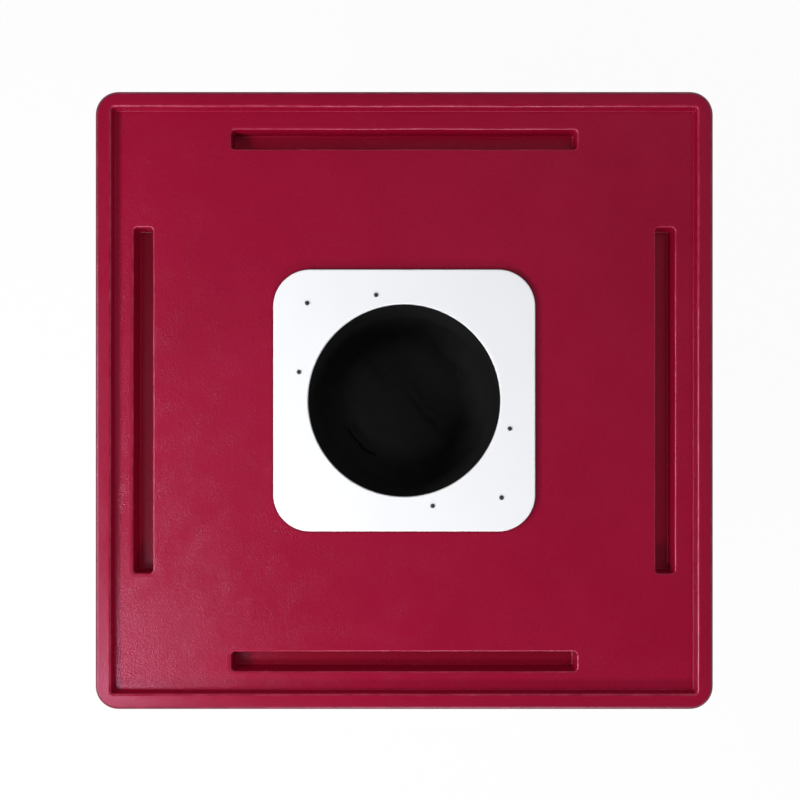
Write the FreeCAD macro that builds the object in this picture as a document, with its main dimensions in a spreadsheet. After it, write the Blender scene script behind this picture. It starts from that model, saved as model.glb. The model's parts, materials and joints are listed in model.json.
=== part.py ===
import FreeCAD, Part
import os
import Sketcher
from FreeCAD import Placement, Rotation, Vector

# Square game table: a moulded tray top with four tile troughs and a bag in its middle, an apron with
# four drawers, and four legs that fold under the apron one after another.
# Millimetres and degrees. Origin on the floor under the middle of the table, +Z up, front at -Y.

SIZES = {
    # moulded top
    "top_width": 800,
    "table_height": 750,
    "corner_radius": 30,
    "rim_width": 20.5,
    "rim_height": 10,
    "rim_edge": 5.5,
    "rim_draft": 14,
    "tray_corner": 4,
    "shell_wall": 4,
    "skirt_depth": 38,
    "edge_ease": 1.5,
    "boss_radius": 7,
    "boss_inset": 50,
    # tile troughs
    "trough_length": 452,
    "trough_width": 25.5,
    "trough_depth": 20,
    "trough_margin": 26,
    "trough_corner": 5,
    "trough_draft": 5,
    "trough_lip": 2.5,
    # white ring over the mouth
    "ring_width": 340,
    "ring_land": 45,
    "mouth_step": 3,
    "ring_corner": 48,
    "ring_gauge": 6,
    "ring_screw_inset": 44,
    "ring_screw_gap": 16.5,
    "ring_screw_spread": 30,
    "ring_screw_grip": 12,
    # bag, its hoop and the two saddles that carry it
    "hoop_wire": 6,
    "hem_wall": 1.3,
    "bag_wall": 1.2,
    "bag_depth": 150,
    "bag_base_width": 190,
    "bag_bend": 93,
    "bag_draw_in": 4,
    "saddle_height": 18,
    "saddle_ledge": 3,
    "saddle_width": 15,
    "saddle_spread": 37,
    "tongue_width": 20,
    # apron, inner frame and corner blocks
    "apron_gap": 4.5,
    "apron_thickness": 14,
    "inner_rail_thickness": 12,
    "inner_rail_lip": 8,
    "bag_room": 27,
    "block_width": 78,
    "block_nose": 34,
    "block_gap": 1,
    # drawers and their runners
    "drawer_head_gap": 6,
    "drawer_opening_width": 300,
    "drawer_opening_height": 54,
    "drawer_gap": 1.5,
    "tray_side_gap": 5,
    "tray_back_gap": 6,
    "tray_height": 46,
    "tray_wall": 3,
    "runner_gauge": 2,
    "runner_ledge": 12,
    "runner_height": 24,
    "runner_tab": 20,
    "pull_length": 18,
    "pull_radius": 11,
    "pull_foot": 7,
    "pull_neck": 5,
    "pull_stem": 6,
    "pull_brim": 5,
    "pull_crown": 4,
    "pull_bore": 10,
    # folding legs
    "leg_width": 25,
    "leg_wall": 1.5,
    "leg_corner": 3,
    "leg_head": 14,
    "leg_inset": 22,
    "fold_gap": 7.5,
    "foot_width": 29,
    "foot_height": 34,
    "foot_floor": 10,
    "bracket_gauge": 2.5,
    "bracket_half": 20,
    "bracket_drop": 10,
    "pin_radius": 4,
    "pin_head": 7,
    "pin_head_height": 3.5,
    "spacer_radius": 8,
    # two-link leg braces
    "brace_reach": 150,
    "link_gauge": 2.5,
    "link_half": 8,
    # fits
    "side_gap": 0.5,
    "slide_gap": 0.3,
    "run_gap": 0.05,
    "fit_gap": 0.2,
    # screws
    "small_screw": 1.5,
    "small_head": 2.9,
    "small_head_height": 2,
    "wood_screw": 2,
    "wood_head": 4,
    "wood_head_height": 2.5,
    "rail_screw_grip": 26,
    "thin_screw_grip": 9,
    "screw_edge": 14,
    "crown_share": 0.72,
}

SIDES = ("front", "right", "back", "left")
CORNERS = ("front_right", "back_right", "back_left", "front_left")
RING_DIAGONALS = (135, 315)  # the two corners of the ring that hold screws
NEAR = 0.01  # how closely a point has to lie on a level to count as on it

doc = FreeCAD.newDocument("mahjong_table")
sheet = doc.addObject("Spreadsheet::Sheet", "dims")
for row, (alias, size) in enumerate(SIZES.items(), 1):
    sheet.set(f"A{row}", alias)
    sheet.set(f"B{row}", str(size))
    sheet.setAlias(f"B{row}", alias)
doc.recompute()

nodes = {}

# Places worked out from the sizes. Each is an expression, so every piece that meets there follows it.
half_top = "(dims.top_width / 2)"
deck_top = "(dims.table_height - dims.rim_height)"
deck_under = f"({deck_top} - dims.shell_wall)"
skirt_bottom = "(dims.table_height - dims.skirt_depth)"
tray_half = f"({half_top} - dims.rim_width)"

trough_outer = f"({tray_half} - dims.trough_margin)"
trough_centre = f"({trough_outer} - dims.trough_width / 2)"
trough_floor = f"({deck_top} - dims.trough_depth)"
trough_under = f"({trough_floor} - dims.shell_wall)"

mouth_radius = "(dims.ring_width / 2 - dims.ring_land)"
corner_screw = "(dims.ring_width / 2 - dims.ring_screw_inset)"
mouth_screw = f"({mouth_radius} + dims.ring_screw_gap)"
ring_hole = "(dims.small_screw + dims.fit_gap)"
saddle_bottom = f"({deck_under} - dims.saddle_height)"
hem_inner = "(dims.hoop_wire / 2 + dims.fit_gap)"
hem_outer = f"({hem_inner} + dims.hem_wall)"
hoop_radius = f"({mouth_radius} + {hem_outer} + dims.side_gap)"
hoop_height = f"({saddle_bottom} + dims.saddle_ledge + {hem_outer} + dims.run_gap)"
saddle_inner = f"({hoop_radius} + {hem_outer} + dims.side_gap)"
saddle_outer = f"({saddle_inner} + dims.saddle_width)"

rail_inner = f"({trough_outer} + dims.shell_wall + dims.apron_gap)"
rail_outer = f"({rail_inner} + dims.apron_thickness)"
open_half = "(dims.drawer_opening_width / 2)"
open_top = f"(min({trough_under}; {skirt_bottom}) - dims.drawer_head_gap)"
open_bottom = f"({open_top} - dims.drawer_opening_height)"
pivot_height = f"({open_bottom} - dims.fold_gap - dims.leg_width / 2)"
rail_bottom = f"({pivot_height} - dims.foot_width / 2)"
saddle_corner = f"({corner_screw} + dims.tongue_width * sqrt(0.5))"
inner_face = f"(max({mouth_radius} + dims.bag_room; {open_half}; {saddle_corner}) + dims.fit_gap)"
inner_outer = f"({inner_face} + dims.inner_rail_thickness)"
inner_bottom = f"({open_bottom} - dims.inner_rail_lip)"

front_bottom = f"({open_bottom} + dims.drawer_gap)"
front_top = f"({open_top} - dims.drawer_gap)"
front_half = f"({open_half} - dims.drawer_gap)"
front_middle = f"(({front_bottom} + {front_top}) / 2)"
tray_side = f"({open_half} - dims.tray_side_gap)"
tray_back = f"({inner_outer} + dims.tray_back_gap)"
ledge_top = f"({front_bottom} - dims.slide_gap)"
ledge_bottom = f"({ledge_top} - dims.runner_gauge)"
flange_inner = f"({tray_side} + dims.side_gap)"
flange_outer = f"({flange_inner} + dims.runner_gauge)"
flange_top = f"({ledge_bottom} + dims.runner_height)"
tab_bottom = f"({open_bottom} + dims.runner_gauge)"
tab_middle = f"(({tab_bottom} + {flange_top}) / 2)"
front_tab = f"({flange_outer} + dims.runner_tab / 2)"
rear_tab = f"({flange_inner} - dims.runner_tab / 2)"
pull_brim = "(dims.pull_stem + dims.pull_brim)"

plate_face = f"({rail_inner} - dims.bracket_gauge)"
upper_out = f"({plate_face} - dims.side_gap)"
upper_in = f"({upper_out} - dims.link_gauge)"
lower_out = f"({upper_in} - dims.side_gap)"
lower_in = f"({lower_out} - dims.link_gauge)"
leg_out = f"({lower_in} - dims.side_gap)"
leg_middle = f"({leg_out} - dims.leg_width / 2)"
leg_in = f"({leg_out} - dims.leg_width)"
ear_out = f"({leg_in} - dims.side_gap)"
ear_in = f"({ear_out} - dims.bracket_gauge)"
leg_place = f"({rail_inner} - dims.leg_inset)"
leg_sweep = "sqrt(dims.leg_width * dims.leg_width / 4 + dims.leg_head * dims.leg_head)"
web_under = f"({pivot_height} + {leg_sweep} + dims.edge_ease)"
block_bottom = f"({web_under} + dims.bracket_gauge)"
block_top = f"({trough_under} - dims.block_gap)"
boss_place = f"({rail_inner} - dims.boss_inset)"
plate_top = f"({open_bottom} - dims.edge_ease - dims.drawer_gap)"
plate_bottom = f"({pivot_height} - dims.bracket_drop)"
plate_screw = f"({plate_top} - dims.wood_head - dims.side_gap)"
anchor_place = f"({leg_place} - dims.brace_reach)"
link_length = "(dims.brace_reach * sqrt(0.5))"
knuckle_place = f"({anchor_place} + dims.brace_reach / 2)"
knuckle_height = f"({pivot_height} - dims.brace_reach / 2)"
running_hole = "(dims.pin_radius + dims.run_gap)"

joint_screw = f"({rail_outer} - dims.apron_thickness / 2)"
joint_heights = (f"({rail_bottom} + dims.screw_edge)", f"({deck_under} - dims.screw_edge)")
plate_screws = (f"({anchor_place} + dims.screw_edge)", knuckle_place, f"({leg_place} + dims.leg_inset / 2)")


def value(expression):
    """The number that an expression stands for."""
    return float(sheet.evalExpression(expression))


def negative(expression):
    return f"(-{expression})"


def keep(item, label):
    """Name a finished sub-part, which also names its file."""
    item.Label = label
    nodes[label] = item
    return item


def turned(item, side):
    """Turn a sub-part modelled on the front to another side of the table."""
    item.Placement = Placement(Vector(), Rotation(Vector(0, 0, 1), 90 * side))
    return item


def new_body(name):
    return doc.addObject("PartDesign::Body", name)


def sketch_on(body, role, away="0", right="0", up="0", angle=0):
    """Sketch on one of the body's own planes, moved within the plane and away from it."""
    plane = next(item for item in body.Origin.OriginFeatures if item.Role == role)
    sketch = body.newObject("Sketcher::SketchObject", f"{body.Name}_sketch")
    sketch.AttachmentSupport = [(plane, "")]
    sketch.MapMode = "FlatFace"
    sketch.AttachmentOffset = Placement(Vector(), Rotation(Vector(0, 0, 1), angle))
    for axis, expression in (("x", right), ("y", up), ("z", away)):
        sketch.setExpression(f"AttachmentOffset.Base.{axis}", expression)
    return sketch


def bind(sketch, constraint, expression):
    number = sketch.addConstraint(constraint)
    sketch.setExpression(f"Constraints[{number}]", expression)


def pin(sketch, curve, point, x, y):
    """Hold a point of a curve at a place given by two expressions."""
    for kind, axis, expression in (("DistanceX", -2, x), ("DistanceY", -1, y)):
        if expression == "0":
            sketch.addConstraint(Sketcher.Constraint("PointOnObject", curve, point, axis))
        else:
            place = Sketcher.Constraint(kind, -1, 1, curve, point, value(expression))
            bind(sketch, place, expression)


def outline(sketch, points):
    """Closed outline of straight lines through the points."""
    places = [Vector(value(x), value(y), 0) for x, y in points]
    first = sketch.GeometryCount
    count = len(places)
    for number, place in enumerate(places):
        sketch.addGeometry(Part.LineSegment(place, places[(number + 1) % count]))
    for number in range(count):
        following = first + (number + 1) % count
        sketch.addConstraint(Sketcher.Constraint("Coincident", first + number, 2, following, 1))
    for number, (x, y) in enumerate(points):
        pin(sketch, first + number, 1, x, y)


def rectangle(sketch, left, right, bottom, top):
    outline(sketch, [(left, bottom), (right, bottom), (right, top), (left, top)])


def circle(sketch, x, y, radius):
    place = Vector(value(x), value(y), 0)
    curve = sketch.addGeometry(Part.Circle(place, Vector(0, 0, 1), value(radius)))
    pin(sketch, curve, 3, x, y)
    bind(sketch, Sketcher.Constraint("Radius", curve, value(radius)), radius)


def rounded_rectangle(sketch, half_x, half_y, radius, middle_y="0"):
    """Rectangle about a point of the vertical axis, with four equal round corners."""
    wide, tall, bend, shift = value(half_x), value(half_y), value(radius), value(middle_y)
    first = sketch.GeometryCount
    corners = ((1, -1, -90), (1, 1, 0), (-1, 1, 90), (-1, -1, 180))
    starts = ((-1, -1), (1, -1), (1, 1), (-1, 1))
    for number, (east, north, turn) in enumerate(corners):
        flat = number % 2 == 0
        side_x, side_y = starts[number]
        begin = Vector(side_x * (wide - bend * flat), shift + side_y * (tall - bend * (not flat)), 0)
        end = Vector(east * (wide - bend * flat), shift + north * (tall - bend * (not flat)), 0)
        sketch.addGeometry(Part.LineSegment(begin, end))
        centre = Vector(east * (wide - bend), shift + north * (tall - bend), 0)
        around = [Rotation(Vector(0, 0, 1), turn + step).multVec(Vector(bend, 0, 0)) for step in (0, 45, 90)]
        sketch.addGeometry(Part.Arc(*[centre + point for point in around]))
    for number in range(4):
        line, arc = first + 2 * number, first + 2 * number + 1
        following = first + (2 * number + 2) % 8
        sketch.addConstraint(Sketcher.Constraint("Tangent", line, 2, arc, 1))
        sketch.addConstraint(Sketcher.Constraint("Tangent", arc, 2, following, 1))
        sketch.addConstraint(Sketcher.Constraint("Horizontal" if number % 2 == 0 else "Vertical", line))
        if number:
            sketch.addConstraint(Sketcher.Constraint("Equal", first + 1, arc))
    bind(sketch, Sketcher.Constraint("Radius", first + 1, bend), radius)
    sides = (("DistanceY", 0, f"({middle_y} - {half_y})"), ("DistanceX", 2, half_x),
             ("DistanceY", 4, f"({middle_y} + {half_y})"), ("DistanceX", 6, negative(half_x)))
    for kind, line, expression in sides:
        bind(sketch, Sketcher.Constraint(kind, -1, 1, first + line, 1, value(expression)), expression)


def slot(sketch, length, half):
    """Round-ended strip from the sketch's origin along its horizontal axis."""
    reach, bend = value(length), value(half)
    places = [Vector(0, -bend, 0), Vector(reach, -bend, 0), Vector(reach, bend, 0), Vector(0, bend, 0)]
    lower = sketch.addGeometry(Part.LineSegment(places[0], places[1]))
    far = sketch.addGeometry(Part.Arc(places[1], Vector(reach + bend, 0, 0), places[2]))
    upper = sketch.addGeometry(Part.LineSegment(places[2], places[3]))
    near = sketch.addGeometry(Part.Arc(places[3], Vector(-bend, 0, 0), places[0]))
    for one, other in ((lower, far), (far, upper), (upper, near), (near, lower)):
        sketch.addConstraint(Sketcher.Constraint("Tangent", one, 2, other, 1))
    pin(sketch, near, 3, "0", "0")
    pin(sketch, far, 3, length, "0")
    bind(sketch, Sketcher.Constraint("Radius", near, bend), half)


def pad(body, sketch, length, backwards=False):
    feature = body.newObject("PartDesign::Pad", f"{body.Name}_pad")
    feature.Profile = sketch
    feature.setExpression("Length", length)
    feature.Reversed = backwards
    doc.recompute()
    return feature


def pocket(body, sketch, depth, forwards=False, draft=None):
    """Cut against the sketch's normal, or along it; a draft narrows the cut as it goes in."""
    before = body.Shape.Volume
    feature = body.newObject("PartDesign::Pocket", f"{body.Name}_pocket")
    feature.Profile = sketch
    feature.setExpression("Length", depth)
    feature.Reversed = forwards
    if draft:
        feature.setExpression("TaperAngle", negative(draft))
    doc.recompute()
    if body.Shape.Volume >= before:
        raise RuntimeError(f"{feature.Name} cuts nothing")
    return feature


def drill(body, role, away, places, radius, depth, forwards=False):
    """Round holes of one size and depth from one plane."""
    sketch = sketch_on(body, role, away)
    for x, y in places:
        circle(sketch, x, y, radius)
    return pocket(body, sketch, depth, forwards)


def turned_profile(body, sketch):
    feature = body.newObject("PartDesign::Revolution", f"{body.Name}_revolution")
    feature.Profile = sketch
    feature.ReferenceAxis = (sketch, ["V_Axis"])
    feature.Angle = 360
    doc.recompute()
    return feature


def round_edges(body, radius, chosen):
    """Round every edge of the body whose middle point is chosen."""
    names = []
    for number, edge in enumerate(body.Shape.Edges, 1):
        first, last = edge.ParameterRange
        if chosen(edge.valueAt((first + last) / 2)):
            names.append(f"Edge{number}")
    base = body.Tip
    feature = body.newObject("PartDesign::Fillet", f"{body.Name}_fillet")
    feature.Base = (base, names)
    feature.setExpression("Radius", radius)
    doc.recompute()
    return feature


def box(name, x, y, z):
    """Block between pairs of expressions along each axis."""
    block = doc.addObject("Part::Box", name)
    for axis, size, (low, high) in (("x", "Length", x), ("y", "Width", y), ("z", "Height", z)):
        block.setExpression(size, f"{high} - {low}")
        block.setExpression(f"Placement.Base.{axis}", low)
    return block


def rod(name, axis, place, radius, length, end_radius=None):
    """Round bar, or cone, from a place along X, Y or Z."""
    bar = doc.addObject("Part::Cone" if end_radius else "Part::Cylinder", name)
    bar.setExpression("Radius1" if end_radius else "Radius", radius)
    if end_radius:
        bar.setExpression("Radius2", end_radius)
    bar.setExpression("Height", length)
    turns = {"x": (Vector(0, 1, 0), 90), "y": (Vector(1, 0, 0), -90), "z": (Vector(0, 0, 1), 0),
             "-x": (Vector(0, 1, 0), -90), "-y": (Vector(1, 0, 0), 90), "-z": (Vector(1, 0, 0), 180)}
    bar.Placement = Placement(Vector(), Rotation(*turns[axis]))
    for letter, expression in zip("xyz", place):
        bar.setExpression(f"Placement.Base.{letter}", expression)
    return bar


def joined(name, pieces):
    fuse = doc.addObject("Part::MultiFuse", name)
    fuse.Shapes = pieces
    return fuse


def cut_from(name, base, tools):
    cut = doc.addObject("Part::Cut", name)
    cut.Base = base
    cut.Tool = joined(f"{name}_tools", tools) if len(tools) > 1 else tools[0]
    return cut


def group(label, pieces):
    """One node that holds several separate solids."""
    holder = doc.addObject("Part::Compound", label)
    holder.Links = pieces
    return keep(holder, label)


def screw(name, axis, seat, shank, head, head_height, grip):
    """Pan-head screw whose head sits at the seat and whose shank runs along the axis."""
    outward = axis[1:] if axis.startswith("-") else f"-{axis}"
    crown = rod(f"{name}_head", outward, seat, head, head_height, f"{head} * dims.crown_share")
    return joined(name, [crown, rod(f"{name}_shank", axis, seat, shank, grip)])


def wood_screw(name, axis, seat, grip):
    return screw(name, axis, seat, "dims.wood_screw", "dims.wood_head", "dims.wood_head_height", grip)


def ring_screw_places():
    """Three screws at each of two opposite corners of the ring."""
    places = []
    for diagonal in RING_DIAGONALS:
        corner_reach = f"{corner_screw} * sqrt(2)"
        places.append((f"{corner_reach} * cos({diagonal})", f"{corner_reach} * sin({diagonal})"))
        for spread in ("dims.ring_screw_spread", "-dims.ring_screw_spread"):
            angle = f"({diagonal} + {spread})"
            places.append((f"{mouth_screw} * cos({angle})", f"{mouth_screw} * sin({angle})"))
    return places


# moulded top
def make_table_top():
    body = new_body("table_top")
    blank = sketch_on(body, "XY_Plane", skirt_bottom)
    rounded_rectangle(blank, half_top, half_top, "dims.corner_radius")
    pad(body, blank, "dims.skirt_depth")

    tray = sketch_on(body, "XY_Plane", "dims.table_height")
    rounded_rectangle(tray, tray_half, tray_half, "dims.tray_corner")
    pocket(body, tray, "dims.rim_height", draft="dims.rim_draft")

    hollow_half = f"({half_top} - dims.shell_wall)"
    hollow_corner = "(dims.corner_radius - dims.shell_wall)"
    hollow = sketch_on(body, "XY_Plane", skirt_bottom)
    rounded_rectangle(hollow, hollow_half, hollow_half, hollow_corner)
    pocket(body, hollow, f"{deck_under} - {skirt_bottom}", forwards=True)

    channel_half = f"({tray_half} + dims.shell_wall)"
    channel = sketch_on(body, "XY_Plane", deck_under)
    rounded_rectangle(channel, hollow_half, hollow_half, hollow_corner)
    rounded_rectangle(channel, channel_half, channel_half, "(dims.tray_corner + dims.shell_wall)")
    pocket(body, channel, "dims.rim_height", forwards=True)

    trough_middle = negative(trough_centre)
    shell = sketch_on(body, "XY_Plane", deck_under)
    rounded_rectangle(shell, "(dims.trough_length / 2 + dims.shell_wall)",
                      "(dims.trough_width / 2 + dims.shell_wall)",
                      "(dims.trough_corner + dims.shell_wall)", trough_middle)
    walls = pad(body, shell, "dims.trough_depth", backwards=True)
    four_times(body, walls)
    cavity = sketch_on(body, "XY_Plane", deck_top)
    rounded_rectangle(cavity, "(dims.trough_length / 2)", "(dims.trough_width / 2)",
                      "dims.trough_corner", trough_middle)
    four_times(body, pocket(body, cavity, "dims.trough_depth", draft="dims.trough_draft"))

    both_ways = (boss_place, negative(boss_place))
    boss_places = [(x, y) for x in both_ways for y in both_ways]
    bosses = sketch_on(body, "XY_Plane", deck_under)
    for x, y in boss_places:
        circle(bosses, x, y, "dims.boss_radius")
    boss_height = f"({deck_under} - {block_top})"
    pad(body, bosses, boss_height, backwards=True)
    drill(body, "XY_Plane", block_top, boss_places, "dims.wood_screw", boss_height, forwards=True)

    drill(body, "XY_Plane", deck_top, [("0", "0")], f"({mouth_radius} + dims.mouth_step)", "dims.shell_wall")
    drill(body, "XY_Plane", deck_top, ring_screw_places(), ring_hole, "dims.shell_wall")

    rim_top, deck, floor = value("dims.table_height"), value(deck_top), value(trough_floor)
    tray_edge = value(tray_half)
    lip_reach, lip_end = value(trough_outer), value("dims.trough_length / 2")
    lip_inner = lip_reach - value("dims.trough_width")

    def reach(point):
        return max(abs(point.x), abs(point.y))

    def over_trough(point):
        along = min(abs(point.x), abs(point.y)) < lip_end + NEAR
        return along and lip_inner - NEAR < reach(point) < lip_reach + NEAR

    def on_rim(point):
        return abs(point.z - rim_top) < NEAR

    round_edges(body, "dims.rim_edge", lambda point: on_rim(point) and reach(point) > tray_edge + NEAR)
    round_edges(body, "dims.edge_ease", lambda point: on_rim(point) and reach(point) < tray_edge + NEAR)
    round_edges(body, "dims.trough_lip", lambda point: abs(point.z - deck) < NEAR and over_trough(point))
    round_edges(body, "dims.edge_ease", lambda point: abs(point.z - floor) < NEAR and over_trough(point))
    keep(body, "table_top")


def four_times(body, feature):
    """Repeat a feature on the four sides of the table."""
    pattern = body.newObject("PartDesign::PolarPattern", f"{body.Name}_pattern")
    pattern.Originals = [feature]
    axis = next(item for item in body.Origin.OriginFeatures if item.Role == "Z_Axis")
    pattern.Axis = (axis, [""])
    pattern.Angle = 360
    pattern.Occurrences = len(SIDES)
    body.Tip = pattern
    doc.recompute()


# white ring, its screws, the saddles, the hoop and the bag
def make_ring():
    body = new_body("centre_ring")
    plate = sketch_on(body, "XY_Plane", deck_top)
    rounded_rectangle(plate, "(dims.ring_width / 2)", "(dims.ring_width / 2)", "dims.ring_corner")
    circle(plate, "0", "0", mouth_radius)
    pad(body, plate, "dims.ring_gauge")
    ring_top = f"({deck_top} + dims.ring_gauge)"
    top = value(ring_top)
    round_edges(body, "dims.edge_ease", lambda point: abs(point.z - top) < NEAR)
    drill(body, "XY_Plane", ring_top, ring_screw_places(), ring_hole, "dims.ring_gauge")
    keep(body, "centre_ring")

    grip = "(dims.ring_gauge + dims.shell_wall + dims.ring_screw_grip)"
    screws = [screw(f"ring_screw_{number}", "-z", (x, y, ring_top), "dims.small_screw", "dims.small_head",
                    "dims.small_head_height", grip)
              for number, (x, y) in enumerate(ring_screw_places(), 1)]
    group("ring_screws", screws)


def sector(name, inner, outer, height):
    """Part of a flat ring that the saddle's spread takes up, about the local X axis."""
    start = Rotation(Vector(0, 0, 1), -value("dims.saddle_spread"))
    rims = []
    for part, radius in (("outer", outer), ("inner", inner)):
        rim = rod(f"{name}_{part}", "z", ("0", "0", saddle_bottom), radius, height)
        rims.append(rim)
    rims[0].setExpression("Angle", "2 * dims.saddle_spread")
    rims[0].Placement = Placement(rims[0].Placement.Base, start)
    rims[0].setExpression("Placement.Base.z", saddle_bottom)
    return cut_from(name, rims[0], rims[1:])


def make_saddles():
    saddles = []
    tongue_end = f"({corner_screw} * sqrt(2) + dims.tongue_width / 2)"
    tongue_half = "(dims.tongue_width / 2)"
    saddle_top = f"({saddle_bottom} + dims.saddle_height)"
    places = [(f"{corner_screw} * sqrt(2)", "0")]
    for spread in ("dims.ring_screw_spread", "-dims.ring_screw_spread"):
        places.append((f"{mouth_screw} * cos({spread})", f"{mouth_screw} * sin({spread})"))
    for number, diagonal in enumerate(RING_DIAGONALS, 1):
        name = f"hoop_saddle_{number}"
        tongue_start = f"({saddle_outer} - dims.saddle_width / 2)"
        body = joined(f"{name}_blank", [
            sector(f"{name}_web", saddle_inner, saddle_outer, "dims.saddle_height"),
            sector(f"{name}_ledge", f"{hoop_radius} - dims.saddle_ledge", f"{saddle_inner} + dims.edge_ease",
                   "dims.saddle_ledge"),
            box(f"{name}_tongue", (tongue_start, tongue_end), (negative(tongue_half), tongue_half),
                (saddle_bottom, saddle_top))])
        holes = []
        for index, (x, y) in enumerate(places):
            start = (x, y, saddle_bottom)
            holes.append(rod(f"{name}_hole_{index}", "z", start, "dims.small_screw", "dims.saddle_height"))
        saddle = cut_from(name, body, holes)
        saddle.Placement = Placement(Vector(), Rotation(Vector(0, 0, 1), diagonal))
        saddles.append(saddle)
    group("hoop_saddles", saddles)


def make_bag():
    hoop = doc.addObject("Part::Torus", "bag_hoop")
    hoop.setExpression("Radius1", hoop_radius)
    hoop.setExpression("Radius2", "dims.hoop_wire / 2")
    hoop.setExpression("Placement.Base.z", hoop_height)
    keep(hoop, "bag_hoop")

    body = new_body("tile_bag")
    hem = sketch_on(body, "XZ_Plane")
    circle(hem, hoop_radius, hoop_height, hem_outer)
    circle(hem, hoop_radius, hoop_height, hem_inner)
    turned_profile(body, hem)

    wall_outer = f"({hoop_radius} - {hem_inner} - dims.run_gap)"
    wall_inner = f"({wall_outer} - dims.bag_wall)"
    bend_outer = f"({wall_outer} - dims.bag_draw_in)"
    bend_inner = f"({bend_outer} - dims.bag_wall)"
    bend_height = f"({hoop_height} - dims.bag_bend)"
    base = f"({hoop_height} - dims.bag_depth)"
    base_radius = "(dims.bag_base_width / 2)"
    floor = f"({base} + dims.bag_wall)"
    wall = sketch_on(body, "XZ_Plane")
    outline(wall, [("0", base), (base_radius, base), (bend_outer, bend_height), (wall_outer, hoop_height),
                   (wall_inner, hoop_height), (bend_inner, bend_height),
                   (f"({base_radius} - dims.bag_wall / 2)", floor), ("0", floor)])
    turned_profile(body, wall)
    keep(body, "tile_bag")


# apron rails, inner rails and corner blocks
def make_rail(side, name):
    body = new_body(f"apron_rail_{name}")
    board = sketch_on(body, "XZ_Plane", rail_inner)
    rectangle(board, negative(rail_outer), rail_inner, rail_bottom, deck_under)
    rectangle(board, negative(open_half), open_half, open_bottom, open_top)
    pad(body, board, "dims.apron_thickness")
    drill(body, "XZ_Plane", rail_outer, [(negative(joint_screw), height) for height in joint_heights],
          "dims.wood_screw", "dims.apron_thickness")
    drill(body, "YZ_Plane", rail_inner, [(negative(joint_screw), height) for height in joint_heights],
          "dims.wood_screw", "(dims.rail_screw_grip - dims.apron_thickness)")
    pilots = [(x, plate_screw) for x in plate_screws]
    pilots += [(front_tab, tab_middle), (negative(front_tab), tab_middle)]
    drill(body, "XZ_Plane", rail_inner, pilots, "dims.wood_screw", "dims.thin_screw_grip", forwards=True)
    keep(turned(body, side), f"apron_rail_{name}")


def make_inner_rail(side, name):
    label = f"inner_rail_{name}"
    thickness = (negative(inner_outer), negative(inner_face))
    board = box(f"{label}_board", (negative(inner_outer), inner_face), thickness, (inner_bottom, deck_under))
    pilots = [rod(f"{label}_pilot_{number}", "y", (x, negative(inner_outer), tab_middle), "dims.wood_screw",
                  "dims.thin_screw_grip")
              for number, x in enumerate((rear_tab, negative(rear_tab)))]
    keep(turned(cut_from(label, board, pilots), side), label)


def make_corner_block(side, name):
    body = new_body(f"corner_block_{name}")
    back = f"({rail_inner} - dims.block_width)"
    nose = f"({rail_inner} - dims.block_nose)"
    plan = sketch_on(body, "XY_Plane", block_bottom)
    outline(plan, [(rail_inner, negative(rail_inner)), (rail_inner, negative(back)), (nose, negative(back)),
                   (back, negative(nose)), (back, negative(rail_inner))])
    pad(body, plan, f"{block_top} - {block_bottom}")
    drill(body, "XY_Plane", block_top, [(boss_place, negative(boss_place))], "dims.wood_screw",
          f"{block_top} - {block_bottom}")
    keep(turned(body, side), f"corner_block_{name}")


# drawers
def make_runners(side, name):
    pair = []
    for hand in ("right", "left"):
        label = f"runner_{name}_{hand}"

        def across(low, high):
            return (low, high) if hand == "right" else (negative(high), negative(low))

        along = (negative(rail_inner), negative(inner_outer))
        web = box(f"{label}_flange", across(flange_inner, flange_outer), along, (ledge_bottom, flange_top))
        ledge = box(f"{label}_ledge", across(f"({flange_inner} - dims.runner_ledge)", flange_outer), along,
                    (ledge_bottom, ledge_top))
        front_end = (negative(rail_inner), f"({negative(rail_inner)} + dims.runner_gauge)")
        front_reach = across(flange_inner, f"({flange_outer} + dims.runner_tab)")
        front = box(f"{label}_front_tab", front_reach, front_end, (tab_bottom, flange_top))
        rear_end = (f"({negative(inner_outer)} - dims.runner_gauge)", negative(inner_outer))
        rear_reach = across(f"({flange_inner} - dims.runner_tab)", flange_outer)
        rear = box(f"{label}_rear_tab", rear_reach, rear_end, (ledge_bottom, flange_top))
        strip = joined(f"{label}_strip", [web, ledge, front, rear])
        holes = []
        for end, axis, x, y in (("front", "y", front_tab, rail_inner), ("rear", "-y", rear_tab, inner_outer)):
            start = (x if hand == "right" else negative(x), negative(y), tab_middle)
            holes.append(rod(f"{label}_{end}_hole", axis, start, "dims.wood_screw", "dims.runner_gauge"))
        pair.append(turned(cut_from(label, strip, holes), side))
    group(f"drawer_runners_{name}", pair)


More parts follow.
